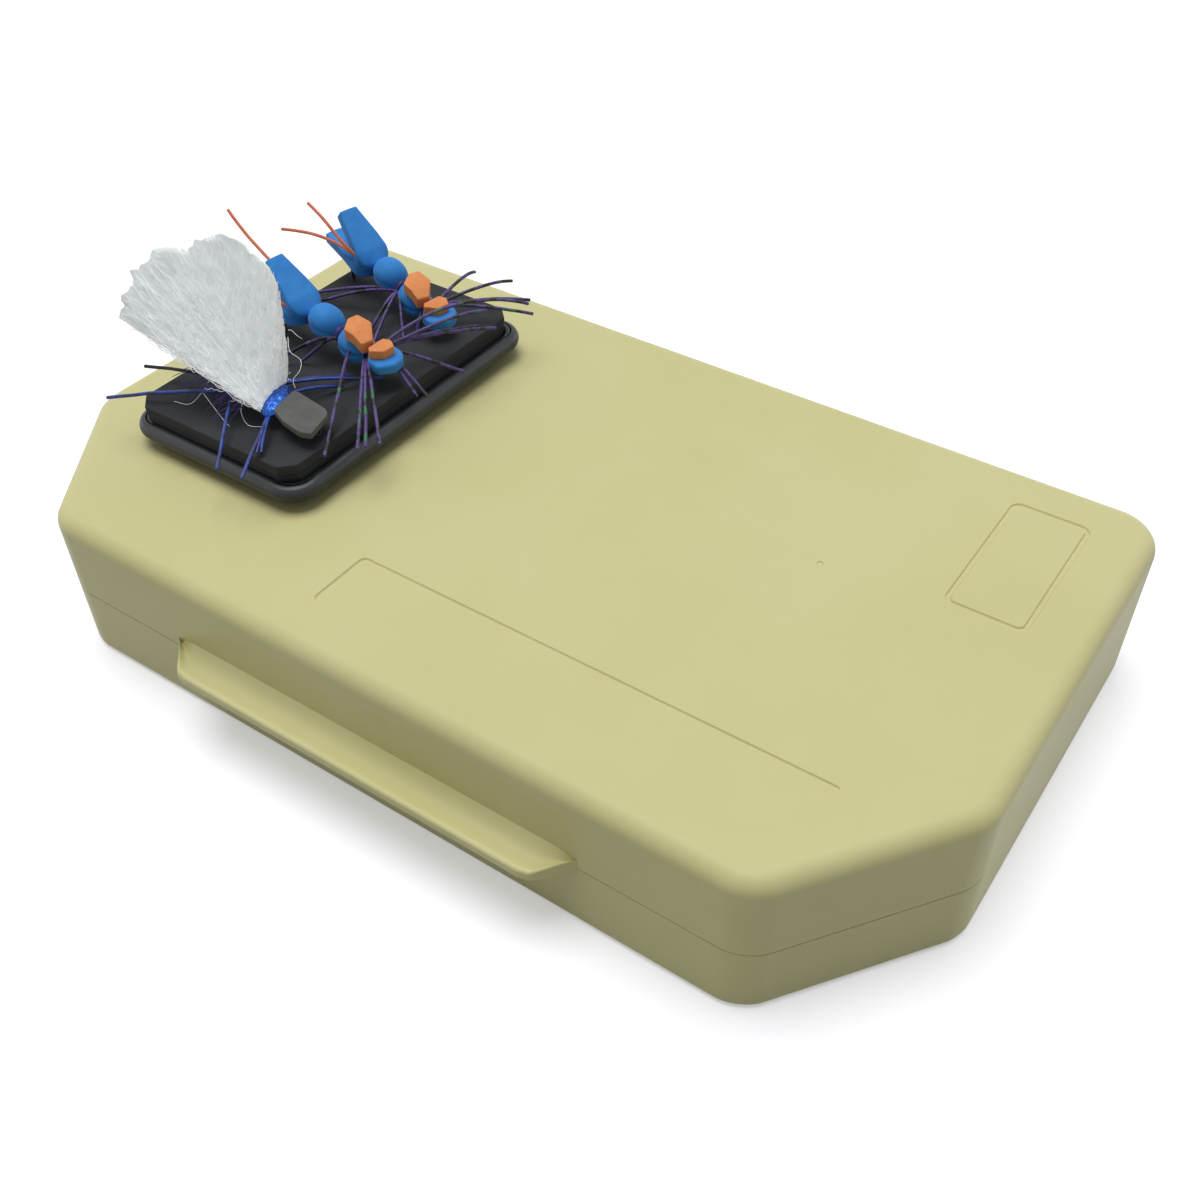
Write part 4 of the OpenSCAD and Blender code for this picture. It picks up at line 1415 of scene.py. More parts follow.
@dataclass
class Caddy:
    """The tray with its rounded rim, its foot and the two layers of its foam block."""

    sizes: CaddySizes

    def build(self, finishes: Finishes) -> None:
        """Models the caddy's pieces and seats them.

        Args:
            finishes: The fly box's finishes.
        """
        sizes = self.sizes
        floor = sizes.tray_bottom + sizes.tray_thick
        seat(self.tray(), Body.CADDY, "caddy_plastic", finishes.caddy_plastic, "caddy_tray")
        seat(self.foot(), Body.CADDY, "caddy_foot_rubber", finishes.foot_rubber, "caddy_foot")
        lower = self.foam_layer(
            "caddy_lower_foam_sheet", floor, sizes.lower_top, sizes.sheet_foot, sizes.sheet_top)
        seat(lower, Body.CADDY, "caddy_foam", finishes.caddy_foam, "caddy_lower_foam")
        upper = self.foam_layer("caddy_upper_foam_sheet", sizes.lower_top, sizes.block_top,
                                sizes.block_under, sizes.block)
        seat(upper, Body.CADDY, "caddy_foam", finishes.caddy_foam, "caddy_upper_foam")

    @staticmethod
    def slab(name: str, centre: Number2, size: Number2, low: float, high: float) -> Piece:
        """A slab of a width and length on a centre, from a low to a high level."""
        return add_block(name, (*size, high - low), (*centre, (low + high) / 2))

    def tray(self) -> Piece:
        """The tray: a thin floor with a fat round bead all round.

        Returns:
            The tray.
        """
        sizes = self.sizes
        high = sizes.tray_bottom + 2 * sizes.bead + sizes.bead_flat
        floor = sizes.tray_bottom + sizes.tray_thick
        tray = self.slab("caddy_tray_moulding", sizes.centre, sizes.rim, sizes.tray_bottom, high)
        bevel_edges(tray, sizes.rim_corner, 12, upright)
        with editing(tray, Mode.FACES):
            pick(tray, Mode.FACES, lambda face: level(face, high))
            step_in(2 * sizes.bead, floor - high)
        for height in (high, sizes.tray_bottom):
            bevel_edges(tray, sizes.bead * sizes.bead_share, 7,
                        lambda edge: level(edge, height), clamp=False)
        smooth(tray)
        return tray

    def foot(self) -> Piece:
        """The rubber foot, with a broken lower edge.

        Returns:
            The foot.
        """
        sizes = self.sizes
        foot = self.slab(
            "caddy_rubber_foot", sizes.centre, sizes.foot, sizes.lid_top, sizes.tray_bottom)
        bevel_edges(foot, sizes.foot_corner, 8, upright)
        bevel_level(foot, sizes.foot_break, 2, sizes.lid_top)
        for x in (-1, 1):
            for y in (-1, 1):
                hole = add_round("hole", *sizes.foot_hole, (
                    sizes.centre[0] + x * sizes.foot[0] / 4,
                    sizes.centre[1] + y * sizes.foot[1] / 4,
                    sizes.tray_bottom - sizes.hole_under), sides=32)
                work_in(foot, hole, Joinery.CUT)
        smooth(foot)
        return foot

    def foam_layer(self, name: str, low: float, high: float, under: Number2,
                   over: Number2) -> Piece:
        """One die-cut layer of the foam block: cut corners, slanted sides, soft edges.

        Args:
            name: The piece's name.
            low: Height of its underside.
            high: Height of its upper side.
            under: Width and length of its underside.
            over: Width and length of its upper side.

        Returns:
            The layer.
        """
        sizes = self.sizes
        layer = self.slab(name, sizes.foam_centre, over, low, high)
        bevel_edges(layer, sizes.block_cut, 1, upright)
        middle = Vector((*sizes.foam_centre, 0.0))

        def slant(spot: Vector) -> Vector:
            """Draws the sides of the underside in or out.

            Args:
                spot: A corner of the layer.

            Returns:
                Its new place.
            """
            if spot.z > (low + high) / 2:
                return spot
            arm = spot - middle
            return Vector((middle.x + arm.x * under[0] / over[0],
                           middle.y + arm.y * under[1] / over[1], spot.z))

        reshape(layer, slant)
        bevel_level(layer, sizes.foam_break, 3, high, low)
        smooth(layer, angle=40.0)
        return layer


# ---------- Flies


@dataclass
class FlyPlace:
    """Where a fly sits: its bend end, its turn and tilt, and its shank's height."""

    x: float
    y: float
    turn: float
    tilt: float
    height: float
    block_top: float = CaddySizes.block_top

    def matrix(self) -> Matrix:
        """The move from the fly's own frame to the case's."""
        return (Matrix.Translation((self.x, self.y, self.block_top + self.height))
                @ Matrix.Rotation(math.radians(self.turn), 4, "Z")
                @ Matrix.Rotation(math.radians(self.tilt), 4, "Y"))

    def metres(self) -> Matrix:
        """The same move for a mesh in metres.

        Returns:
            The matrix.
        """
        move = self.matrix()
        move.translation *= MM
        return move


@dataclass(frozen=True)
class Leg:
    """One rubber leg: where it is tied in, its side, its tip and how high it arches."""

    tied: float
    side: int
    tip: Number3
    arch: float


@dataclass
class Strands:
    """Legs and tails of a fly, as smooth strands that waver a little."""

    place: FlyPlace
    radius: float = 0.33
    steps: int = 18
    waver_size: float = 5.0
    waver_depth: float = 0.16
    leg_side: float = 1.4
    leg_height: float = -0.1
    tail_height: float = 0.9

    def root(self, tied: float, side: float, up: float) -> Vector:
        """Turns a point along, left of and above the fly's shank into the case's frame."""
        return self.place.matrix() @ Vector((tied, side, up))

    def above_caddy(self, spot: Number3) -> Vector:
        """A point measured from the caddy's middle and the foam block's top."""
        return Vector((spot[0] + CaddySizes.centre[0], spot[1] + CaddySizes.centre[1],
                       spot[2] + self.place.block_top))

    def line(self, ends: Line, seed: float) -> list[Vector]:
        """Samples a smooth curve and makes it waver between its ends.

        Args:
            ends: Four control points.
            seed: Tells one strand from another.

        Returns:
            The strand's points.
        """
        points = []
        for step in range(self.steps + 1):
            share = step / self.steps
            spot = cubic(ends, share)
            depth = self.waver_depth * math.sin(math.pi * share) ** 0.6
            points.append(spot + depth * Vector((
                waver(spot, self.waver_size, seed), waver(spot, self.waver_size, seed + 9.0),
                waver(spot, self.waver_size, seed + 17.0))))
        return points

    def legs(self, legs: Sequence[Leg], seed: float) -> list[list[Vector]]:
        """Lines of a set of legs.

        Args:
            legs: The legs.
            seed: Tells one fly from another.

        Returns:
            One line for each leg.
        """
        lines = []
        for index, leg in enumerate(legs):
            root = self.root(leg.tied, leg.side * self.leg_side, self.leg_height)
            tip = self.above_caddy(leg.tip)
            flat = Vector((tip.x - root.x, tip.y - root.y, 0.0))
            ends = (root, root + 0.35 * flat + Vector((0.0, 0.0, leg.arch)),
                    Vector((root.x + 0.75 * flat.x, root.y + 0.75 * flat.y,
                            tip.z + 0.6 * leg.arch + 0.8)), tip)
            lines.append(self.line(ends, seed + index))
        return lines

    def tails(self, tails: Sequence[tuple[int, Number3, Number3, Number3]],
              tied: float, seed: float) -> list[list[Vector]]:
        """Lines of the tail strands.

        Args:
            tails: For each strand its side, two middle points and its tip.
            tied: Place along the shank.
            seed: Tells one fly from another.

        Returns:
            One line for each strand.
        """
        lines = []
        for index, (side, *spots) in enumerate(tails):
            ends = (self.root(tied, side, self.tail_height),
                    *(self.above_caddy(spot) for spot in spots))
            lines.append(self.line(ends, seed + 40.0 + index))
        return lines

    def tie_in(self, name: str, lines: Sequence[Line], slot: str,
               finish: Material, node: str) -> None:
        """Makes strands of rubber along lines and seats them.

        Args:
            name: The piece's name.
            lines: Points of each strand.
            slot: Not used, only handed on to seat.
            finish: Their material.
            node: The CAD node they stand for.
        """
        piece = bead(name, lines, self.radius)
        smooth(piece, angle=50.0, weighted=False)
        seat(piece, Body.CADDY, slot, finish, node)


def bent_hook(name: str, bend: float) -> Piece:
    """A hook in a fly's own frame: shank, round bend, point and an eye under the head.

    Args:
        name: The piece's name.
        bend: Radius of its bend.

    Returns:
        The hook.
    """
    start, turns, wire_radius, eye_radius = bend + 0.9, 18, 0.4, 0.28
    arc = [Vector((start - bend * math.sin(math.pi * step / turns), 0.0,
                   bend * (math.cos(math.pi * step / turns) - 1.0)))
           for step in range(turns + 1)]
    wire = bead(name, [[Vector((31.3, 0.0, 0.0)), *arc,
                        Vector((start + 5.6, 0.0, -2 * bend))]], wire_radius)
    ring = [Vector((31.8 + 0.45 * math.sin(math.pi * step / 8), 0.6 * math.cos(math.pi * step / 8),
                    -0.5 - 0.45 * math.sin(math.pi * step / 8))) for step in range(17)]
    join_pieces(wire, bead("eye", [ring], eye_radius))
    smooth(wire, angle=50.0, weighted=False)
    return wire


@dataclass
class FoamFlyPattern:
    """Shapes that both foam flies share, in a fly's own frame: X along the shank."""

    waists: Number3 = (10.6, 18.4, 26.5)
    waist_radius: float = 1.2
    sheet: float = 2.0
    binding: float = 1.2
    thread_radius: float = 0.14

    def flap(self, name: str, root: float, height: float, length: float, rise: float,
             root_width: float, tip_width: float, cup: float) -> Piece:
        """A tail flap of foam sheet with a straight cut end.

        Args:
            name: The piece's name.
            root: Where it leaves its binding along the shank.
            height: Its height there above the shank.
            length: Its length.
            rise: How steeply it rises towards the tail, in degrees.
            root_width: Width at its broad part.
            tip_width: Width at its cut end.
            cup: How far its broad part's edges fold down.

        Returns:
            The flap.
        """
        piece = subdivided_block(name, (23, 9, 3), (length, 2.0, 2.0), (length / 2, 0.0, 0.0))
        table = [(0.0, self.waist_radius * 0.8), (0.05, 0.31 * root_width),
                 (0.1, 0.4 * root_width), (0.16, 0.465 * root_width),
                 (0.22, 0.495 * root_width), (0.27, 0.5 * root_width), (1.0, 0.5 * tip_width)]
        slope = math.radians(rise)

        def place(spot: Vector) -> Vector:
            """Lays the block along the flap.

            Args:
                spot: A corner of the block.

            Returns:
                Its place on the flap.
            """
            share = spot.x / length
            half = ramp(table, share)
            pinch = 1.0 - 0.3 * (1.0 - ease(0.0, 0.2, share))
            thick = self.sheet / 2 * pinch * (
                1.0 + 0.25 * ease(0.0, 0.12, share) * (1.0 - ease(0.15, 0.5, share)))
            fold = -cup * spot.y**2 * (1.0 - ease(0.12, 0.55, share))
            crown = 0.16 * (1.0 - spot.y**2) * (1.0 if spot.z > 0 else -0.4)
            local_z = spot.z * thick + fold + crown
            bend = slope * (0.55 + 0.45 * ease(0.06, 0.3, share))
            x = spot.x * math.cos(bend) - local_z * math.sin(slope)
            z = spot.x * math.sin(bend) + local_z * math.cos(slope)
            return Vector((root - x, spot.y * half, height + z))

        reshape(piece, place)
        outward(piece)
        return piece

    def puff(self, name: str, low: float, high: float, height: float, radius: float,
             fold: float) -> Piece:
        """A foam segment squeezed between two bindings, with a fold between its layers.

        Args:
            name: The piece's name.
            low: Where it starts along the shank.
            high: Where it ends.
            height: Its middle above the shank.
            radius: Its radius.
            fold: Angle of the fold below the horizontal, in degrees.

        Returns:
            The segment.
        """
        bpy.ops.object.select_all(action="DESELECT")
        bpy.ops.mesh.primitive_uv_sphere_add(
            segments=44, ring_count=26, radius=MM, rotation=(0.0, math.pi / 2, 0.0))
        piece = name_piece(name)
        middle, half = (low + high) / 2, (high - low) / 2

        def place(spot: Vector) -> Vector:
            """Swells the sphere into a pinched cushion.

            Args:
                spot: A corner of the sphere.

            Returns:
                Its place on the cushion.
            """
            along = max(-1.0, min(1.0, spot.x))
            around = math.atan2(spot.z, abs(spot.y))
            swell = (1.0 - abs(along) ** 2.3) ** 0.5
            crease = math.exp(-((math.degrees(around) + fold) / 4.5) ** 2)
            square = 3.4 if around < 0 else 2.0
            box = (abs(math.cos(around)) ** square + abs(math.sin(around)) ** square) ** (
                -1.0 / square)
            size = 0.5 + (radius - 0.5) * swell * box - 0.36 * crease * swell
            turn = math.atan2(spot.z, spot.y)
            size *= 1.0 + 0.02 * waver(spot * 3.0, 1.6, radius)
            return Vector((middle + half * along, size * math.cos(turn),
                           height * swell**0.5 + size * math.sin(turn)))

        reshape(piece, place)
        outward(piece)
        return piece

    def head(self) -> Piece:
        """The head: the strip's end, flared from its binding and cut to a blunt point.

        Returns:
            The head.
        """
        low, high = -0.7, 1.25
        piece = prism("head", [
            (29.2, 3.2), (27.0, 1.3), (27.0, -1.3), (29.2, -3.5), (31.9, -3.6), (33.5, -0.6),
            (33.1, 1.6), (31.5, 3.1)], low, high)
        bevel_edges(piece, 0.55, 3, upright)
        bevel_level(piece, 0.6, 3, high)
        bevel_level(piece, 0.3, 2, low)
        reshape(piece, lambda spot: Vector((spot.x, spot.y, spot.z - 0.06 * (spot.x - 29.0))))
        smooth(piece, angle=34.0)
        return piece

    def upper_foam(self) -> Piece:
        """The upper foam strip: tail flap, ball, thorax and head.

        Returns:
            The piece.
        """
        first, second, third = self.waists
        parts = [
            self.flap("upper_foam", first + 0.4, 1.0, 12.6, 34.0, 7.1, 3.9, 0.75),
            self.puff("ball", first + 0.3, second - 0.3, 1.2, 3.05, 12.0),
            self.puff("thorax", second + 0.3, third - 0.3, -0.4, 2.85, 8.0),
            self.head()]
        core = add_round("core", self.waist_radius, third - first + 1.4,
                         ((first + third) / 2 + 0.1, 0.0, 0.0), sides=24, along_x=True)
        bevel_edges(core, 0.2, 2, lambda edge: square_to(edge, 0))
        edge_round(parts[0], 0.16, 52.0)
        piece = join_pieces(parts[0], *parts[1:], core)
        smooth(piece, angle=48.0, weighted=False)
        return piece

    def lower_flap(self) -> Piece:
        """The lower foam strip, of which the tail flap stands free.

        Returns:
            The piece.
        """
        piece = self.flap("lower_foam", self.waists[0] - 0.7, -0.35, 14.4, 3.0, 6.6, 4.4, 0.5)
        edge_round(piece, 0.22, 52.0)
        smooth(piece, angle=48.0, weighted=False)
        return piece

    @staticmethod
    def lobe(name: str, plan: Sequence[Number2], low: float, high: float,
             bend: float, fall: float) -> Piece:
        """One lobe of the marker: a six-sided pad with bevelled upper edges.

        Args:
            name: The piece's name.
            plan: Corners, anticlockwise seen from above.
            low: Height of its underside above the shank.
            high: Height of its upper side.
            bend: Place along the shank from which it bends down.
            fall: How far it falls for each millimetre beyond that.

        Returns:
            The lobe.
        """
        lobe = prism(name, plan, low, high)
        bevel_edges(lobe, 0.3, 3, upright)
        bevel_level(lobe, 0.28, 2, high)
        bevel_level(lobe, 0.14, 2, low)
        with editing(lobe, Mode.VERTS):
            cut_across(0, bend)
        reshape(lobe, lambda spot: Vector((
            spot.x, spot.y, spot.z - fall * max(0.0, spot.x - bend))))
        smooth(lobe, angle=32.0)
        return lobe

    def marker(self) -> Piece:
        """The orange marker: two lobes with a bound neck between them.

        Returns:
            The piece.
        """
        big = self.lobe("marker", [
            (20.8, 2.2), (20.5, 0.0), (22.6, -2.8), (27.3, -3.0), (27.6, -0.4), (24.4, 2.3)],
            2.3, 4.45, 25.0, 0.42)
        small = self.lobe("small_lobe", [
            (29.5, 2.2), (28.1, 1.5), (28.3, -2.4), (29.4, -3.1), (31.2, -1.2), (31.2, 1.4)],
            1.2, 3.05, 29.8, 0.08)
        neck = add_block("neck", (2.2, 1.6, 1.1), (27.8, -0.4, 1.9))
        edge_round(neck, 0.3, 40.0)
        return join_pieces(big, small, neck)

    def bindings(self) -> Piece:
        """The thread bindings: close turns of floss, and crossed turns at the marker.

        Returns:
            The piece.
        """
        lines = []
        for waist, layers in zip(self.waists, (1, 2, 2)):
            for layer in range(layers):
                turns, count = 6, 6 * 14
                radius = self.waist_radius + 0.13 + 0.16 * layer
                lines.append([Vector((
                    waist + self.binding * (step / count - 0.5) * (1 - 0.25 * layer),
                    radius * math.cos(2 * math.pi * turns * step / count + layer),
                    radius * math.sin(2 * math.pi * turns * step / count + layer)))
                    for step in range(count + 1)])
        second, third = self.waists[1], self.waists[2]
        for side in (-1, 1):
            lines.append(through([
                Vector((third + 0.2, side * 1.3, 0.3)), Vector((third + 1.0, side * 1.3, 2.0)),
                Vector((third + 1.3, 0.0, 2.6)), Vector((third + 1.4, -side * 1.3, 1.9)),
                Vector((third + 0.7, -side * 1.3, 0.2))], 5))
            lines.append(through([
                Vector((second + 0.2, side * 1.3, 0.2)), Vector((second + 0.9, side * 1.3, 1.6)),
                Vector((second + 1.2, side * 0.6, 2.4))], 5))
        return bead("bindings", lines, self.thread_radius, sides=1)


def edge_round(piece: Piece, width: float, angle: float) -> None:
    """Softens all edges sharper than an angle with a bevel modifier.

    Args:
        piece: The piece.
        width: Width of the bevel.
        angle: The angle in degrees.
    """
    take(piece)
    step = piece.modifiers.new("soft_edges", "BEVEL")
    step.width = width * MM
    step.segments = 2
    step.limit_method = "ANGLE"
    step.angle_limit = math.radians(angle)
    bpy.ops.object.modifier_apply(modifier=step.name)


@dataclass
class FoamFlies:
    """The two foam flies: one pattern modelled once, with legs and tails of their own."""

    pattern: FoamFlyPattern

    def build(self, finishes: Finishes) -> None:
        """Models both flies and seats their pieces.

        Args:
            finishes: The fly box's finishes.
        """
        pattern = self.pattern
        shapes = {
            "upper_foam": (pattern.upper_foam(), "blue_foam", finishes.blue_foam),
            "lower_foam": (pattern.lower_flap(), "blue_foam", finishes.blue_foam),
            "marker": (pattern.marker(), "orange_foam", finishes.orange_foam),
            "thread": (pattern.bindings(), "purple_thread", finishes.thread),
            "hook": (bent_hook("hook", 4.6), "hook_wire", finishes.hook_wire)}
        for number, (fly, place) in enumerate(FLY_PLACES.items()):
            for part, (shape, slot, finish) in shapes.items():
                piece = copy_piece(shape, f"{fly}_fly_{part}_made", place.metres())
                seat(piece, Body.CADDY, slot, finish, f"{fly}_fly_{part}")
            strands = Strands(place)
            strands.tie_in(f"{fly}_fly_leg_strands",
                           strands.legs(FLY_LEGS[fly], 3.0 + 20 * number), "purple_legs",
                           finishes.purple_legs, f"{fly}_fly_legs")
            strands.tie_in(f"{fly}_fly_tail_strands",
                           strands.tails(FLY_TAILS[fly], pattern.waists[0], 5.0 * number),
                           "orange_strands", finishes.orange_legs, f"{fly}_fly_tails")
        for shape, _slot, _finish in shapes.values():
            bpy.data.objects.remove(shape)


FLY_PLACES = {
    "middle": FlyPlace(-69.0, 4.3, -5.5, 4.2, 7.3),
    "rear": FlyPlace(-71.0, 26.8, -13.0, 6.2, 7.3)}

FLY_LEGS = {
    "middle": [
        Leg(18.2, -1, (-7.7, -9.0, 0.6), 0.4), Leg(18.6, -1, (-3.0, -5.5, 0.6), 0.3),
        Leg(22.4, -1, (21.1, -25.1, 0.4), 0.2), Leg(26.2, -1, (24.5, -20.4, 0.4), 0.4),
        Leg(26.4, -1, (25.2, -19.1, 0.4), 0.2), Leg(26.6, -1, (26.8, -17.2, 0.4), 0.2),
        Leg(27.2, 1, (22.6, -2.1, 0.4), 0.5), Leg(27.4, 1, (24.1, -1.0, 0.4), 0.7),
        Leg(27.5, 1, (24.6, 9.0, 0.5), 0.6), Leg(26.6, 1, (23.6, 30.6, 4.0), 6.5),
        Leg(26.5, 1, (19.9, 19.6, 3.3), 0.6), Leg(26.8, 1, (22.6, 21.6, 2.8), 1.0),
        Leg(26.6, 1, (22.2, 19.6, 7.3), 1.2)],
    "rear": [
        Leg(18.2, -1, (-17.6, 14.1, 1.3), 0.6), Leg(18.4, -1, (-15.8, 12.6, 0.7), 0.4),
        Leg(18.7, -1, (0.3, 10.1, 0.6), 0.3), Leg(18.8, -1, (3.7, 7.5, 0.6), 0.3),
        Leg(19.0, -1, (7.6, 11.6, 0.6), 0.4), Leg(26.8, -1, (9.5, 12.8, 0.6), 0.2),
        Leg(26.5, 1, (8.8, 32.8, 5.3), 1.0), Leg(26.6, 1, (16.0, 35.5, 4.3), 1.0),
        Leg(26.7, 1, (21.8, 33.6, 2.8), 0.8), Leg(26.8, 1, (23.9, 31.7, 1.3), 0.6)],
    "front, blue": [
        Leg(15.2, -1, (-24.0, -34.1, 0.5), 0.6), Leg(10.5, -1, (8.5, -38.1, 0.4), 0.4),
        Leg(22.0, -2, (11.8, -31.8, 1.3), 0.2), Leg(22.3, -2, (12.0, -31.0, 1.0), 0.3),
        Leg(22.6, -2, (13.9, -37.7, 0.4), 0.2), Leg(16.4, 2, (8.4, -4.4, 0.9), 0.5),
        Leg(20.0, 2, (9.5, -7.5, 0.8), 0.3), Leg(16.0, 2, (14.0, -1.6, 0.7), 0.6)],
    "front, black": [Leg(17.2, 1, (-24.6, -24.2, 1.7), 0.8)]}

FLY_TAILS = {
    "middle": [
        (1, (-12.0, 4.5, 10.0), (-21.0, 3.6, 14.0), (-28.1, 5.2, 19.7)),
        (-1, (-10.0, -4.2, 10.0), (-13.0, -4.0, 13.0), (-14.8, -4.6, 18.4))],
    "rear": [
        (-1, (-11.0, 17.8, 10.0), (-14.0, 18.2, 14.6), (-21.1, 19.2, 17.3)),
        (-1, (-11.5, 19.6, 9.6), (-18.0, 19.8, 11.8), (-28.9, 18.2, 10.0))]}


@dataclass
class WingedFly:
    """The front fly: a fan of crinkled white fibre over a dark body, and a grey foam head."""

    place: FlyPlace
    wing_tied: Number3 = (18.4, 0.0, 2.0)
    wing_low: Number3 = (21.2, -3.4, 0.4)
    wing_high: Number3 = (18.3, 3.8, 1.2)
    fibres: int = 1500
    fibre_radius: float = 0.06
    wing_thick: float = 1.6
    crinkle: float = 0.26
    hackles: int = 60
    hackle_radius: float = 0.1
    hairs: int = 260
    hair_radius: float = 0.06

    WING_EDGE: ClassVar[Sequence[Number3]] = (
        (-25.9, -9.4, 8.2), (-24.8, -7.4, 11.9), (-25.2, -6.9, 13.6), (-23.4, -5.2, 15.4),
        (-23.8, -4.4, 17.6), (-22.0, -2.8, 19.0), (-20.4, -0.9, 21.2), (-18.6, 0.1, 21.8),
        (-15.4, 1.6, 21.4), (-14.2, 2.9, 22.9), (-12.2, 4.2, 23.6), (-10.4, 5.4, 24.5),
        (-7.1, 6.6, 23.2), (-5.0, 7.0, 21.5), (-2.0, 7.5, 19.2), (-0.6, 7.2, 16.4),
        (0.0, 6.2, 13.0), (1.4, 4.8, 9.8), (1.9, 2.9, 5.6))
    STRAYS: ClassVar[Sequence[Sequence[Number3]]] = (
        ((7.6, -4.4, 1.0), (7.5, -6.7, -1.0), (7.1, -9.4, -2.5), (4.1, -10.7, -2.8)),
        ((7.5, -6.7, -1.0), (11.0, -7.2, -2.0), (14.5, -7.7, -2.9), (17.9, -8.3, -3.1),
         (18.9, -9.3, -3.2)),
        ((15.7, -3.4, 0.0), (15.8, -4.6, -2.0), (19.4, -5.9, -2.5), (21.6, -4.5, -2.5)),
        ((13.5, 9.1, 6.0), (16.0, 7.4, 5.0), (18.2, 7.9, 4.0), (19.5, 6.5, 3.0),
         (19.6, 4.8, 2.0), (20.7, 4.2, 1.0)),
        ((13.0, 9.7, 7.0), (13.5, 10.1, 7.0), (14.8, 10.2, 6.5), (15.7, 10.6, 6.0)))

    def edge(self, share: float) -> Vector:
        """A point of the wing's edge, measured from its root.

        Args:
            share: 0 at the edge's low left end and 1 at its right end.

        Returns:
            The point.
        """
        spot = share * (len(self.WING_EDGE) - 1)
        index = min(int(spot), len(self.WING_EDGE) - 2)
        return Vector(self.WING_EDGE[index]).lerp(Vector(self.WING_EDGE[index + 1]), spot - index)

    def normal(self) -> Vector:
        """The wing's normal."""
        return self.edge(0.0).cross(self.edge(1.0)).normalized()

    def root_line(self, share: float) -> Vector:
        """A point of the wing's root: share 0 is the collar's near end, 1 its far end."""
        return self.place.matrix() @ Vector(self.wing_low).lerp(Vector(self.wing_high), share)

    def fibre_line(self, rng: random.Random, normal: Vector) -> list[Vector]:
        """One crinkled fibre of the wing.

        Args:
            rng: Seeded random numbers.
            normal: The fan's normal.

        Returns:
            The fibre's points.
        """
        share = rng.uniform(0.02, 0.955)
        root = self.root_line(min(1.0, max(0.0, share + rng.uniform(-0.15, 0.15))))
        arm = self.place.matrix() @ Vector(self.wing_tied) + self.edge(share) - root
        side = (self.edge(min(1.0, share + 0.04)) - self.edge(max(0.0, share - 0.04))).normalized()
        curly = rng.random() < 0.7
        start = 0.62 * rng.random() ** 1.2 if curly else rng.uniform(0.0, 0.25)
        length = start + rng.uniform(0.1, 0.25) if curly else 1.01 - 0.5 * rng.random() ** 1.5
        layer = rng.choice((-1.0, 1.0)) * rng.uniform(0.65, 1.05)
        phase, wave = rng.uniform(0.0, 6.3), rng.uniform(1.2, 3.4)
        depth = rng.uniform(0.12, 0.45)
        drift = rng.uniform(-3.2, 3.2) / (length - start) if curly else rng.uniform(-1.2, 1.2)
        drift *= math.sin(math.pi * min(0.9, max(0.1, share))) ** 0.7
        points, steps = [], 12
        for step in range(steps + 1):
            part = start + (length - start) * step / steps
            reach = arm.length * part
            spread = self.wing_thick * (
                0.35 + 0.65 * math.sin(math.pi * min(1.0, 0.15 + part * 0.8)))
            sway = depth * math.sin(phase + 2.2 * reach / wave) * (0.4 + part)
            spot = root + arm * part + normal * (
                layer * spread + 0.3 * math.sin(2.0 * phase + 1.7 * reach / wave)
                + self.crinkle * rng.uniform(-1.0, 1.0))
            points.append(spot + side * (
                sway + drift * (part - start) + self.crinkle * rng.uniform(-1.0, 1.0)))
        return points

    def core(self) -> Piece:
        """The wing's packed core, which fills the fan between its two layers of fibre.

        Returns:
            The core.
        """
        normal = self.normal()
        core = subdivided_block("front_fly_wing_core", (29, 81, 3))
        tied = self.place.matrix() @ Vector(self.wing_tied)

        def place(spot: Vector) -> Vector:
            """Spreads the block into the fan's core.

            Args:
                spot: A corner of the block.

            Returns:
                Its place on the core.
            """
            along, across = (spot.x + 1.0) / 2, (spot.y + 1.0) / 2
            share = 0.025 + 0.91 * across
            root = self.root_line(share)
            full = math.sin(math.pi * min(1.0, 0.12 + 0.84 * along)) ** 0.7
            flat = 1.0 - abs(spot.y) ** 6
            edge = Vector((across * 60.0, 0.0, 0.0))
            reach = 1.0 + 0.03 * waver(edge, 1.7, 8.0) + 0.012 * waver(edge, 0.5, 9.0)
            full *= ramp([(0.0, 0.4), (0.35, 0.5), (0.6, 0.85), (1.0, 0.9)], along)
            out = root + (tied + self.edge(share) - root) * (0.03 + (reach - 0.03) * along)
            out += normal * spot.z * self.wing_thick * full * (0.25 + 0.75 * flat)
            return out + normal * (0.16 * waver(out, 1.1, 3.0) + 0.25 * waver(out, 3.0, 5.0))

        reshape(core, place)
        outward(core)
        smooth(core, angle=70.0, weighted=False)
        return core

    def wing(self) -> list[Piece]:
        """The wing's fibres: two layers that fan out from the collar, and stray curls.

        Returns:
            The wing's pieces.
        """
        rng = random.Random(WING_SEED)
        normal = self.normal()
        strays = [through([self.place.matrix() @ Vector(spot) for spot in stray], 4)
                  for stray in self.STRAYS]
        pieces = []
        for name, extra in (("front_fly_wing_fibres", []), ("front_fly_wing_top_fibres", strays)):
            lines = [self.fibre_line(rng, normal) for _ in range(self.fibres)]
            pieces.append(bead(name, lines + extra, self.fibre_radius, sides=0, taper=0.75))
        return pieces

    def head(self) -> Piece:
        """The grey foam head plate: eight-sided, its upper edges bevelled.

        Returns:
            The plate.
        """
        low, high = 0.3, 1.6
        plate = prism("front_fly_head_plate", [
            (22.6, 3.5), (21.6, 3.0), (23.7, -2.9), (27.3, -3.8), (31.9, -3.8), (33.8, -2.7),
            (31.5, 2.8), (30.0, 3.7)], low, high)
        bevel_edges(plate, 0.3, 2, upright)
        bevel_level(plate, 0.22, 2, high, low)
        smooth(plate, angle=32.0)
        plate.data.transform(self.place.metres())
        return plate

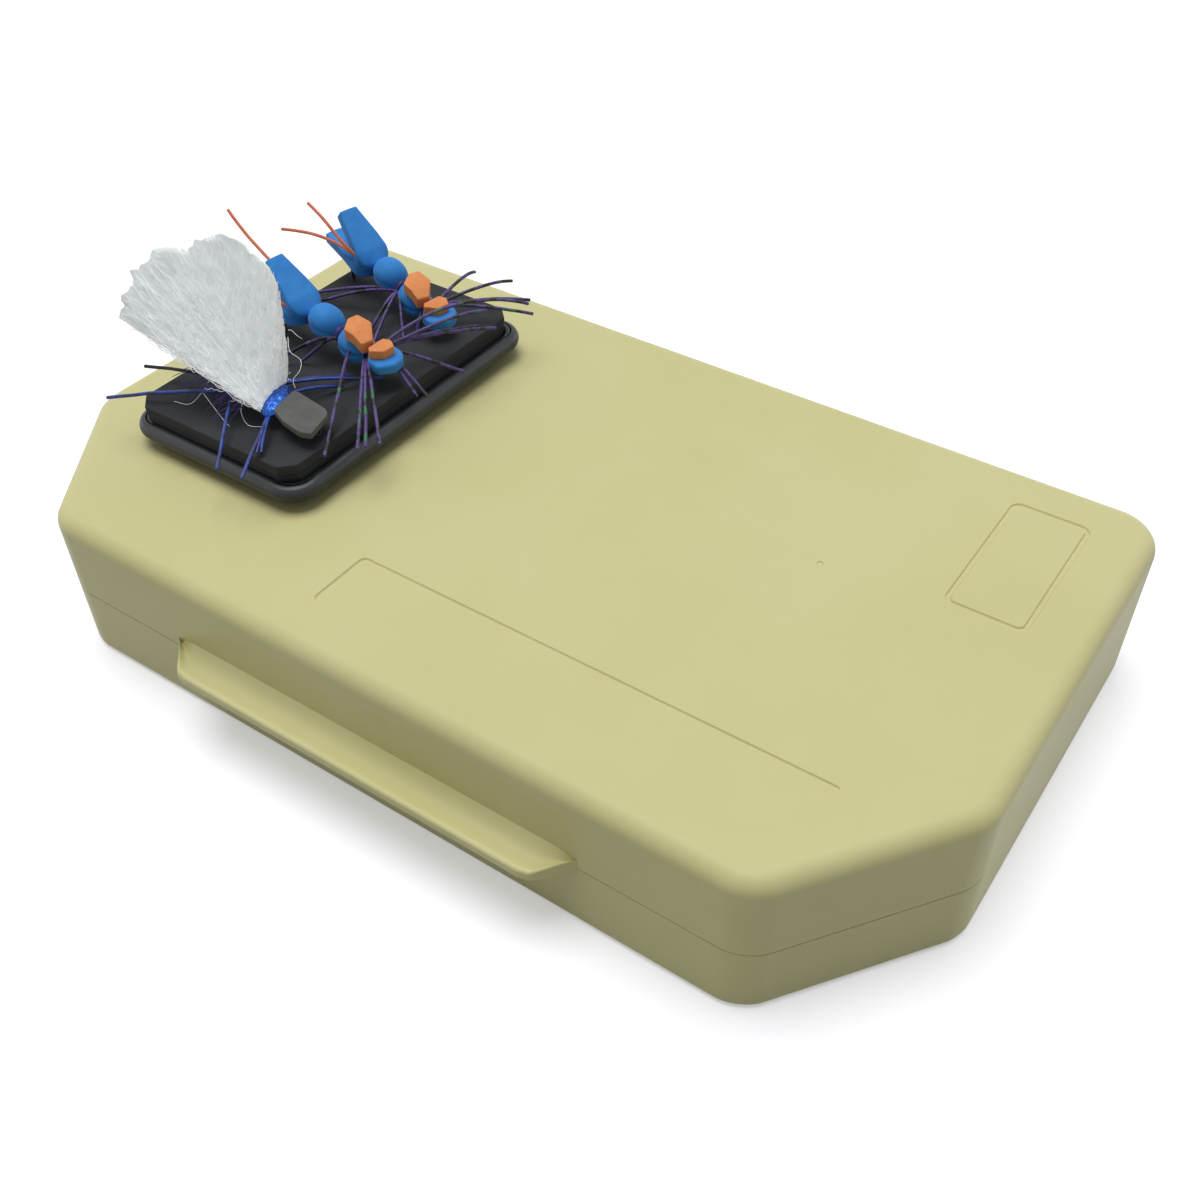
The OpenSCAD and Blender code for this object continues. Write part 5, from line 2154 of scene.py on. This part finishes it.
    def collar(self) -> Piece:
        """The tinsel collar: a wide band of crumpled film, skewed across the shank.

        Returns:
            The collar.
        """
        low, length, skew = 18.9, 3.8, 0.42
        collar = subdivided_block("front_fly_tinsel_collar", (31, 21, 15))

        def place(spot: Vector) -> Vector:
            """Rounds the block and crumples it.

            Args:
                spot: A corner of the block.

            Returns:
                Its place on the collar.
            """
            share = (spot.x + 1.0) / 2
            turn = math.atan2(spot.z, spot.y)
            side = max(abs(spot.y), abs(spot.z))
            swell = ramp([(0.0, 0.55), (0.25, 0.95), (0.6, 1.0), (1.0, 0.6)], share)
            fold = 0.22 * waver(Vector((share * 3, 3 * turn, 0.0)), 0.8, 4.0)
            fold += 0.12 * waver(Vector((share * 8, 5 * turn, 0.0)), 0.6, 9.0)
            y = (4.2 * swell + fold) * side * math.cos(turn)
            return Vector((low + length * share - skew * y + 0.3 * fold, y,
                           0.25 + (1.7 * swell + fold) * side * math.sin(turn)))

        reshape(collar, place)
        outward(collar)
        smooth(collar, angle=60.0, weighted=False)
        collar.data.transform(self.place.metres())
        return collar

    def hackle(self) -> Piece:
        """Fine purple strands that stand out of the body under the wing.

        Returns:
            The strands.
        """
        rng = random.Random(HACKLE_SEED)
        lines = []
        for _ in range(self.hackles):
            root = Vector((rng.uniform(6.0, 18.5), rng.choice((-1, -1, -1, 1)) * 1.0, 0.2))
            way = math.copysign(1.0, root.y)
            tip = root + Vector(
                (rng.uniform(-6.0, 1.5), way * rng.uniform(3.0, 9.0), rng.uniform(-2.8, 1.2)))
            bow = Vector((rng.uniform(-2.0, 2.0), 0.0, rng.uniform(0.5, 2.4)))
            ends = [self.place.matrix() @ spot for spot in (
                root, root.lerp(tip, 0.35) + bow, root.lerp(tip, 0.75) + bow * 0.6, tip)]
            lines.append([cubic(ends, step / 9) for step in range(10)])
        return bead("front_fly_hackle_strands", lines, self.hackle_radius, sides=1, taper=0.5)

    def underbody(self) -> Piece:
        """The dubbed underbody: a barrel of fur with loose hairs.

        Returns:
            The underbody.
        """
        rng = random.Random(FUR_SEED)
        barrel = FoamFlyPattern().puff("front_fly_dubbed_body", 5.4, 17.4, 0.0, 1.55, 200.0)
        barrel.data.transform(self.place.metres())
        lines = []
        for _ in range(self.hairs):
            along = rng.uniform(6.0, 17.5)
            turn = rng.uniform(0.0, 2 * math.pi)
            outwards = Vector((0.0, math.cos(turn), math.sin(turn)))
            root = Vector((along, 0.0, 0.0)) + outwards * 1.1
            reach = rng.uniform(0.8, 2.4)
            back = Vector((-rng.uniform(0.2, 1.6), 0.0, 0.0))
            sway = Vector((0.0, rng.uniform(-0.5, 0.5), rng.uniform(-0.4, 0.5)))
            ends = (root, root + outwards * reach * 0.5, root + outwards * reach * 0.8 + back * 0.6,
                    root + outwards * reach * 0.9 + back + sway)
            lines.append([self.place.matrix() @ cubic(ends, step / 5) for step in range(6)])
        return join_pieces(barrel, bead("fur", lines, self.hair_radius, sides=0, taper=0.5))

    def build(self, finishes: Finishes) -> None:
        """Models the fly and seats its pieces.

        Args:
            finishes: The fly box's finishes.
        """
        seat(self.underbody(), Body.CADDY, "black_dubbing", finishes.dubbing, "front_fly_underbody")
        seat(self.collar(), Body.CADDY, "blue_tinsel", finishes.tinsel, "front_fly_collar")
        seat(self.head(), Body.CADDY, "grey_foam", finishes.grey_foam, "front_fly_head")
        for piece in self.wing():
            seat(piece, Body.CADDY, "white_fibre", finishes.wing_fibre, "front_fly_wing")
        seat(self.core(), Body.CADDY, "white_fibre", finishes.wing_felt, "front_fly_wing")
        seat(self.hackle(), Body.CADDY, "purple_thread", finishes.thread, "front_fly_underbody")
        strands = Strands(self.place)
        strands.tie_in("front_fly_blue_legs", strands.legs(FLY_LEGS["front, blue"], 50.0),
                       "blue_legs", finishes.blue_legs, "front_fly_legs")
        strands.tie_in("front_fly_black_leg", strands.legs(FLY_LEGS["front, black"], 70.0),
                       "blue_legs", finishes.hook_wire, "front_fly_legs")
        hook = bent_hook("front_fly_hook_made", 3.4)
        hook.data.transform(self.place.metres())
        seat(hook, Body.CADDY, "hook_wire", finishes.hook_wire, "front_fly_hook")


# ---------- Studio


@dataclass
class Studio:
    """The camera, the pale floor, the white background and the lamps."""

    focal: float = 39.81
    shift: Number2 = (-0.00901, 0.02199)
    eye: Number3 = (112.5, -148.2, 175.9)
    right: Number3 = (0.8277, 0.5612, -0.0028)
    down: Number3 = (0.386, -0.5728, -0.7231)
    view: Number3 = (-0.4074, 0.5974, -0.6907)
    ambient: float = 0.22
    floor_glow: float = 0.38
    LAMPS: ClassVar[Sequence[tuple[str, float, Number3, float]]] = (
        ("key", 2.26, (-0.14, 0.06, 0.99), 44.0), ("rear_fill", 0.36, (0.45, 0.82, 0.34), 50.0),
        ("side_fill", 0.3, (-0.8, -0.45, 0.4), 60.0))

    def camera(self) -> None:
        """Places the camera at the photograph's viewpoint."""
        data = bpy.data.cameras.new("photo_camera")
        data.sensor_width = 36.0
        data.lens = self.focal
        data.shift_x, data.shift_y = self.shift
        data.clip_start, data.clip_end = 0.01, 20.0
        camera = bpy.data.objects.new("photo_camera", data)
        bpy.context.scene.collection.objects.link(camera)
        axes = Matrix(
            (self.right, [-part for part in self.down], [-part for part in self.view])).transposed()
        camera.matrix_world = Matrix.Translation(Vector(self.eye) * MM) @ axes.to_4x4()
        bpy.context.scene.camera = camera

    @staticmethod
    def seen_rays(tree: Tree) -> Socket:
        """1 for camera, glossy and transmission rays, and 0 for light on its way.

        Args:
            tree: The node tree.

        Returns:
            The socket.
        """
        ray = add_node(tree, "LightPath").outputs
        seen = add_node(tree, "Math", {"operation": "MAXIMUM"},
                        {0: ray["Is Camera Ray"], 1: ray["Is Glossy Ray"]})
        return add_node(tree, "Math", {"operation": "MAXIMUM"},
                        {0: seen.outputs[0], 1: ray["Is Transmission Ray"]}).outputs[0]

    def world(self) -> None:
        """Lights evenly, and shows white to the camera and in reflections."""
        world = bpy.data.worlds.new("studio")
        tree = empty_tree(world)
        shown = self.seen_rays(tree)
        strength = add_node(tree, "MapRange", {
            "To Min": self.ambient, "To Max": 1.0}, {"Value": shown})
        background = add_node(tree, "Background", {"Color": (1.0, 1.0, 1.0, 1.0)},
                              {"Strength": strength.outputs["Result"]})
        add_node(tree, "OutputWorld", None, {"Surface": background.outputs["Background"]})
        bpy.context.scene.world = world

    def floor(self) -> None:
        """Lays a white floor that keeps the case's shadow."""
        bpy.ops.object.select_all(action="DESELECT")
        bpy.ops.mesh.primitive_plane_add(size=6.0, location=(0.0, 0.0, -0.0001))
        floor = name_piece("studio_floor")
        material = bpy.data.materials.new("white_paper")
        tree = empty_tree(material)
        shown = self.seen_rays(tree)
        shade = add_node(tree, "Mix", {
            "data_type": "RGBA", 6: linear("ABABA6"), 7: linear("E6E6EE")}, {0: shown})
        paper = add_node(tree, "BsdfDiffuse", None, {"Color": shade.outputs[2]})
        light = add_node(
            tree, "MapRange", {"To Min": 0.0, "To Max": self.floor_glow}, {"Value": shown})
        glow = add_node(tree, "Emission", {"Color": (1.0, 1.0, 1.0, 1.0)},
                        {"Strength": light.outputs["Result"]})
        both = add_node(
            tree, "AddShader", None, {0: paper.outputs["BSDF"], 1: glow.outputs["Emission"]})
        add_node(tree, "OutputMaterial", None, {"Surface": both.outputs["Shader"]})
        floor.data.materials.append(material)

    def lamps(self) -> None:
        """Hangs a large soft key light overhead, and two weak fills at the sides."""
        for name, power, way, softness in self.LAMPS:
            data = bpy.data.lights.new(name, "SUN")
            data.energy = power
            data.angle = math.radians(softness)
            lamp = bpy.data.objects.new(name, data)
            lamp.rotation_euler = Vector(way).to_track_quat("Z", "Y").to_euler()
            bpy.context.scene.collection.objects.link(lamp)

    def build(self) -> None:
        """Sets the whole studio up."""
        bpy.context.scene.view_settings.view_transform = "Standard"
        self.camera()
        self.world()
        self.floor()
        self.lamps()


def main() -> None:
    """Builds the studio and the fly box."""
    logging.basicConfig(level=logging.INFO, format="%(message)s")
    Studio().build()
    finishes = Finishes()
    outline, sizes = CaseOutline(), CaseSizes()
    BaseShell(outline, sizes).build(finishes.case)
    LidShell(outline, sizes).build(finishes.case)
    liner = FoamLiner(outline, sizes)
    liner.build("base_foam_liner", sizes.floor, 1, Body.BASE, finishes.liner_foam, "base_liner")
    liner.build("lid_foam_liner", sizes.height - sizes.top, -1, Body.LID,
                finishes.liner_foam, "lid_liner")
    for node, finish in (("hinge_pins", finishes.steel), ("base_magnets", finishes.nickel),
                         ("lid_magnets", finishes.nickel), ("keeper_plate", finishes.steel),
                         ("caddy_magnets", finishes.nickel)):
        dress_node(node, finish)
    Caddy(CaddySizes()).build(finishes)
    FoamFlies(FoamFlyPattern()).build(finishes)
    WingedFly(FlyPlace(-69.0, -14.5, -8.0, 3.0, 3.9)).build(finishes)


if __name__ == "__main__":
    main()
